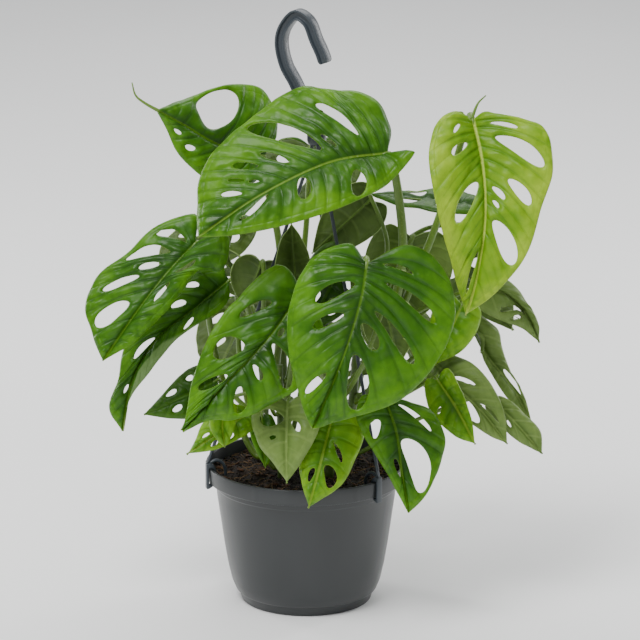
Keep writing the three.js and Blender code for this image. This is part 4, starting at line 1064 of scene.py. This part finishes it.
class HangerSettings(bpy.types.PropertyGroup):
    """The three-strand hanger with its hook."""

    strand: length("Strand radius", "Radius of a strand", 0.0015, 0.0008, 0.003)
    bar_width: length("Bar width", "Width of the hook's bar", 0.010, 0.005, 0.02)
    bar_depth: length("Bar depth", "Depth of the hook's bar", 0.0085, 0.004, 0.015)
    plastic: colour("Plastic", "Colour of the hanger", "353c42")


class LeafSettings(bpy.types.PropertyGroup):
    """The leaves and their stalks."""

    thickness: length("Thickness", "Thickness of a blade", 0.0006, 0.0003, 0.0015)
    quilting: length("Quilting", "Height of the swellings between veins", 0.0015, 0, 0.004)
    waviness: length("Waviness", "Rise and fall of the margins", 0.0034, 0, 0.01)
    cell: length("Mesh size", "Side of a face on the large blades", 0.0014, 0.0008, 0.004)


class StageSettings(bpy.types.PropertyGroup):
    """The floor and the lights."""

    floor: colour("Floor", "Colour of the floor", "fbfbfa")
    key: FloatProperty(name="Key light", description="Power of the main light", default=68, min=0,
                       unit="POWER")


# ---------------------------------------------------------------- operators


class PLANT_OT_pot(bpy.types.Operator):
    """Build the moulded pot"""

    bl_idname = "plant.pot"
    bl_label = "Pot"

    def execute(self, context):
        settings = context.scene.plant_pot
        bm = bmesh.new()
        spun(bm, POT_PROFILE, settings.steps)
        soften(bm, settings.edge * 1000, angle=0.3)
        spacing = 2 * math.pi / BAND_SEAMS
        for v in bm.verts:
            turn = math.atan2(v.co.y, v.co.x) % spacing
            if v.co.xy.length > RIM_RADIUS - 1.5 and min(turn, spacing - turn) < math.pi / settings.steps:
                v.co.xy *= 1 + SEAM_HEIGHT / RIM_RADIUS
        skin = moulded_polypropylene("moulded_pot_polypropylene", settings.plastic, 0.33, 0.05)
        finish_piece(bm, "moulded_pot", [skin], "pot")
        return {"FINISHED"}


def heap_height(x, y):
    """Height of the compost: a low crown with hollows and crumbs, and a level ledge under the rim."""
    r = math.hypot(x, y)
    small = math.sin(0.21 * x + 1.3) * math.cos(0.17 * y)
    large = math.sin(0.11 * (x + y)) * math.cos(0.29 * x - 0.13 * y)
    rough = noise.fractal(Vector((x, y, 0)) / 7, 0.8, 2.1, 4)
    crown = SOIL_CROWN * math.cos(min(1, r / SOIL_RADIUS) * math.pi / 2)
    height = SOIL_EDGE + crown + 1.2 * (small + large) + rough
    return max(height, LEDGE_HEIGHT) if r > SOIL_RADIUS else height


class PLANT_OT_compost(bpy.types.Operator):
    """Build the compost with its crumbs, bark and fibres"""

    bl_idname = "plant.compost"
    bl_label = "Compost"

    def execute(self, context):
        settings = context.scene.plant_compost
        draw = random.Random(11)
        bm = bmesh.new()
        top = [(COMPOST_RADIUS * (1 - k / SOIL_RINGS), SOIL_EDGE) for k in range(SOIL_RINGS + 1)]
        spun(bm, SOIL_WALL + top, SOIL_STEPS)
        for v in bm.verts:
            if v.co.z > SOIL_EDGE - 1:
                v.co.z = heap_height(v.co.x, v.co.y)
        soil = damp_compost("damp_compost", "150d08", "2d1e13")
        finish_piece(bm, "compost_heap", [soil], "soil")

        def spot(inner=0.0):
            """A drawn place on the heap, beyond the inner share of its radius."""
            r = COMPOST_RADIUS * math.sqrt(draw.uniform(inner**2, 1)) - EDGE_GAP
            turn = draw.uniform(0, 2 * math.pi)
            x, y = r * math.cos(turn), r * math.sin(turn)
            return Vector((x, y, heap_height(x, y)))

        bm = bmesh.new()
        for _ in range(settings.crumbs):
            size = settings.crumb * 1000 * draw.uniform(*CRUMB_SPREAD)
            place = Matrix.Translation(spot() + Vector((0, 0, 0.2 * size)))
            angle = draw.uniform(0, 6.3)
            turn = Matrix.Rotation(angle, 4, Vector((draw.random(), draw.random(), 0.3)).normalized())
            scale = Matrix.Diagonal((draw.uniform(0.7, 1.3), draw.uniform(0.7, 1.2), draw.uniform(0.5, 1), 1))
            bmesh.ops.create_icosphere(bm, subdivisions=1, radius=size / 2, matrix=place @ turn @ scale)
        finish_piece(bm, "compost_crumbs", [soil], "soil")
        bm = bmesh.new()
        for _ in range(settings.chips):
            size = draw.uniform(*CHIP_SIZES)
            place = Matrix.Translation(spot(0.3) + Vector((0, 0, 0.8)))
            turn = Matrix.Rotation(draw.uniform(0, 6.3), 4, "Z")
            turn = turn @ Matrix.Rotation(draw.uniform(-0.5, 0.5), 4, "X")
            scale = Matrix.Diagonal((size, size * draw.uniform(0.35, 0.7), draw.uniform(0.8, 1.8), 1))
            made = bmesh.ops.create_cube(bm, size=1, matrix=place @ turn @ scale)["verts"]
            for v in made:
                v.co += Vector([draw.uniform(-0.6, 0.6) for _ in range(3)])
        soften(bm, 0.25, segments=1)
        bark = dry_fibre("dry_bark", "24150c", "56361c")
        finish_piece(bm, "bark_chips", [bark], "soil")
        bm = bmesh.new()
        for _ in range(settings.fibres):
            points = [spot(0.2)]
            turn = draw.uniform(0, 2 * math.pi)
            for _ in range(5):
                turn += draw.uniform(-1.1, 1.1)
                x = points[-1].x + FIBRE_STEP * math.cos(turn)
                y = points[-1].y + FIBRE_STEP * math.sin(turn)
                if math.hypot(x, y) > COMPOST_RADIUS - 3:
                    break
                points.append(Vector((x, y, heap_height(x, y) + draw.uniform(0.3, 2.2))))
            if len(points) > 2:
                path = curve_points(points, np.linspace(0, 1, len(FIBRE_RADII)), knot=0.5)
                sweep(bm, circle(3), path, FIBRE_RADII, (0, 0.1, 1))
        coir = dry_fibre("root_fibre", "4a3520", "8c6e48")
        finish_piece(bm, "root_fibres", [coir], "soil")
        return {"FINISHED"}


class PLANT_OT_hanger(bpy.types.Operator):
    """Build the hook and the three strands with their clips"""

    bl_idname = "plant.hanger"
    bl_label = "Hanger"

    def execute(self, context):
        settings = context.scene.plant_hanger
        skin = moulded_polypropylene("moulded_hanger_polypropylene", settings.plastic, 0.38, 0.04)
        w, d = settings.bar_width * 500, settings.bar_depth * 500
        side = [(w, -d), (w, FLANGE - d), (HALF_WEB, FLANGE_ROOT - d)]
        side += [(x, -y) for x, y in reversed(side)]
        outline = side + [(-x, y) for x, y in reversed(side)]
        turn = math.radians(HOOK_TURN)
        places = [(HUB.x + x * math.cos(turn), x * math.sin(turn), z) for x, z in HOOK_LINE]
        taper = np.ones(HOOK_STEPS)
        taper[-len(HOOK_END_TAPER) :] = HOOK_END_TAPER
        bm = bmesh.new()
        path = curve_points(places, np.linspace(0, 1, HOOK_STEPS), knot=0.5)
        sweep(bm, outline, path, taper, (-math.sin(turn), math.cos(turn), 0))
        bmesh.ops.recalc_face_normals(bm, faces=bm.faces)
        soften(bm, 0.35)
        finish_piece(bm, "hook_bar", [skin], "hanger_hook")
        bm = bmesh.new()
        spun(bm, HUB_PROFILE, 48)
        soften(bm, 0.5)
        bmesh.ops.translate(bm, vec=HUB, verts=bm.verts)
        finish_piece(bm, "hook_hub", [skin], "hanger_hook")
        for name, angle in STRANDS.items():
            angle = math.radians(angle)
            away = Vector((math.cos(angle), math.sin(angle), 0))
            bm = bmesh.new()
            face = bm.faces.new([bm.verts.new((r, -CLIP_WIDTH / 2, z)) for r, z in CLIP_OUTLINE])
            made = bmesh.ops.extrude_face_region(bm, geom=[face])["geom"]
            moved = [g for g in made if isinstance(g, bmesh.types.BMVert)]
            bmesh.ops.translate(bm, vec=(0, CLIP_WIDTH, 0), verts=moved)
            bmesh.ops.recalc_face_normals(bm, faces=bm.faces)
            soften(bm, 0.5)
            bmesh.ops.rotate(bm, cent=(0, 0, 0), matrix=Matrix.Rotation(angle, 3, "Z"), verts=bm.verts)
            rim = away * (CLIP_OUTER + 0.8) + Vector((0, 0, CLIP_TOP + 3))
            start = HUB + away * 4.2 + Vector((0, 0, -5.45))
            route = [start, start + away * 0.4 + Vector((0, 0, -5)), start.lerp(rim, 0.5), rim]
            path = curve_points(route, np.linspace(0, 1, 50), knot=0.5)
            sweep(bm, circle(12), path, np.full(50, settings.strand * 1000), (0.2, 1, 0))
            curl = [away * r + Vector((0, 0, z)) for r, z in CLIP_CURL]
            path = curve_points(curl, np.linspace(0, 1, 24), knot=0.5)
            sweep(bm, circle(10), path, np.full(24, CURL_RADIUS), (0.2, 1, 0.1))
            finish_piece(bm, f"strand_{name}", [skin], f"hanger_leg_{name}")
        return {"FINISHED"}


class PLANT_OT_stems(bpy.types.Operator):
    """Build the vines that stand in the compost"""

    bl_idname = "plant.stems"
    bl_label = "Vines"

    def execute(self, context):
        skin = petiole_skin("vine_skin", "4c6625", "7c7842")
        for number, (name, stem) in enumerate(STEMS.items()):
            low, high = stem_axis(stem)
            run = np.linspace(0, 1, 70)
            path = low + (high - low) * run[:, None]
            to_ring = (path[:, 2] - 6 * number) % NODE_SPACING - NODE_SPACING / 2
            rings = np.exp(-((to_ring / NODE_WIDTH) ** 2))
            radii = stem["radius"] * (1 - STEM_TAPER * run) * (1 + 0.16 * rings)
            bm = bmesh.new()
            sweep(bm, circle(20), path, radii, (1, 0, 0))
            finish_piece(bm, f"vine_{name}", [skin], f"stem_{name}")
        return {"FINISHED"}


class PLANT_OT_leaves(bpy.types.Operator):
    """Build every leaf with its stalk"""

    bl_idname = "plant.leaves"
    bl_label = "Leaves"

    def execute(self, context):
        settings = context.scene.plant_leaf
        faces = {kind: leaf_skin(*values) for kind, values in LEAF_FACES.items()}
        # The rim's pale colour is partly the thin edge's own and partly a painted highlight along the lit
        # edge.
        rim = leaf_edge("leaf_rim", "9bb56a")
        stalk = petiole_skin("stalk_skin", "5d7d26", "8fa04c")
        for number, (name, raw) in enumerate(LEAVES.items()):
            leaf = complete(raw)
            # Leaves marked dark take the shaded copies of their faces: painted shade.
            kind = "young_leaf" if leaf["pale"] else "shaded_leaf" if leaf["dark"] else "leaf"
            upper = faces[leaf.get("skin", kind)]
            lower = faces["shaded_under" if leaf["dark"] else "under"]
            cell = settings.cell * 1000 * (1 if leaf["fine"] else ROUGH_CELL)
            bm = blade_mesh(leaf, cell, 3.1 * number, settings)
            finish_piece(bm, f"blade_{name}", [upper, lower, rim], f"leaf_{name}", settings.thickness)
            finish_piece(stalk_mesh(leaf), f"stalk_{name}", [stalk], f"leaf_{name}")
        return {"FINISHED"}


class PLANT_OT_stage(bpy.types.Operator):
    """Build the floor, the lights and the camera"""

    bl_idname = "plant.stage"
    bl_label = "Stage"

    def execute(self, context):
        settings = context.scene.plant_stage
        scene = context.scene
        bm = bmesh.new()
        bmesh.ops.create_grid(bm, x_segments=8, y_segments=8, size=6)
        bmesh.ops.translate(bm, vec=(0, 0, -0.0005), verts=bm.verts)
        mesh = bpy.data.meshes.new("studio_floor")
        bm.to_mesh(mesh)
        bm.free()
        mesh.materials.append(studio_floor("matt_floor_paint", settings.floor))
        floor = bpy.data.objects.new("studio_floor", mesh)
        scene.collection.objects.link(floor)
        world = bpy.data.worlds.new("studio")
        world.use_nodes = True
        background = world.node_tree.nodes["Background"]
        background.inputs["Color"].default_value = linear("f4f6f8")
        background.inputs["Strength"].default_value = 0.55
        scene.world = world
        for name, (place, size, share) in LIGHTS.items():
            lamp = bpy.data.lights.new(name, "AREA")
            lamp.energy = settings.key * share
            lamp.shape = "RECTANGLE"
            lamp.size, lamp.size_y = size
            light = bpy.data.objects.new(name, lamp)
            light.location = place
            light.rotation_euler = (LIT_POINT - light.location).to_track_quat("-Z", "Y").to_euler()
            scene.collection.objects.link(light)
        camera = bpy.data.cameras.new("camera")
        camera.sensor_width = 36
        camera.lens = VIEW_LENS
        camera.clip_end = 50
        view = bpy.data.objects.new("camera", camera)
        view.location = VIEW_TARGET + VIEW_DISTANCE * Vector((0, -math.cos(VIEW_RISE), math.sin(VIEW_RISE)))
        view.rotation_euler = (VIEW_TARGET - view.location).to_track_quat("-Z", "Y").to_euler()
        scene.collection.objects.link(view)
        scene.camera = view
        return {"FINISHED"}


OPERATORS = (PLANT_OT_pot, PLANT_OT_compost, PLANT_OT_hanger, PLANT_OT_stems, PLANT_OT_leaves, PLANT_OT_stage)
SETTINGS = {
    "plant_pot": PotSettings,
    "plant_compost": CompostSettings,
    "plant_hanger": HangerSettings,
    "plant_leaf": LeafSettings,
    "plant_stage": StageSettings,
}


class PLANT_PT_panel(bpy.types.Panel):
    """The plant's pieces and their sizes"""

    bl_idname = "PLANT_PT_panel"
    bl_label = "Hanging monstera"
    bl_space_type = "VIEW_3D"
    bl_region_type = "UI"
    bl_category = "Plant"

    def draw(self, context):
        for key in SETTINGS:
            box = self.layout.box()
            group = getattr(context.scene, key)
            for name in group.__annotations__:
                box.prop(group, name)
        for operator in OPERATORS:
            self.layout.operator(operator.bl_idname)


def register():
    for cls in (*SETTINGS.values(), *OPERATORS, PLANT_PT_panel):
        bpy.utils.register_class(cls)
    for key, cls in SETTINGS.items():
        setattr(bpy.types.Scene, key, PointerProperty(type=cls))


def unregister():
    for key in SETTINGS:
        delattr(bpy.types.Scene, key)
    for cls in reversed((*SETTINGS.values(), *OPERATORS, PLANT_PT_panel)):
        bpy.utils.unregister_class(cls)


def main():
    register()
    bpy.ops.plant.pot()
    bpy.ops.plant.compost()
    bpy.ops.plant.hanger()
    bpy.ops.plant.stems()
    bpy.ops.plant.leaves()
    bpy.ops.plant.stage()


if __name__ == "__main__":
    main()
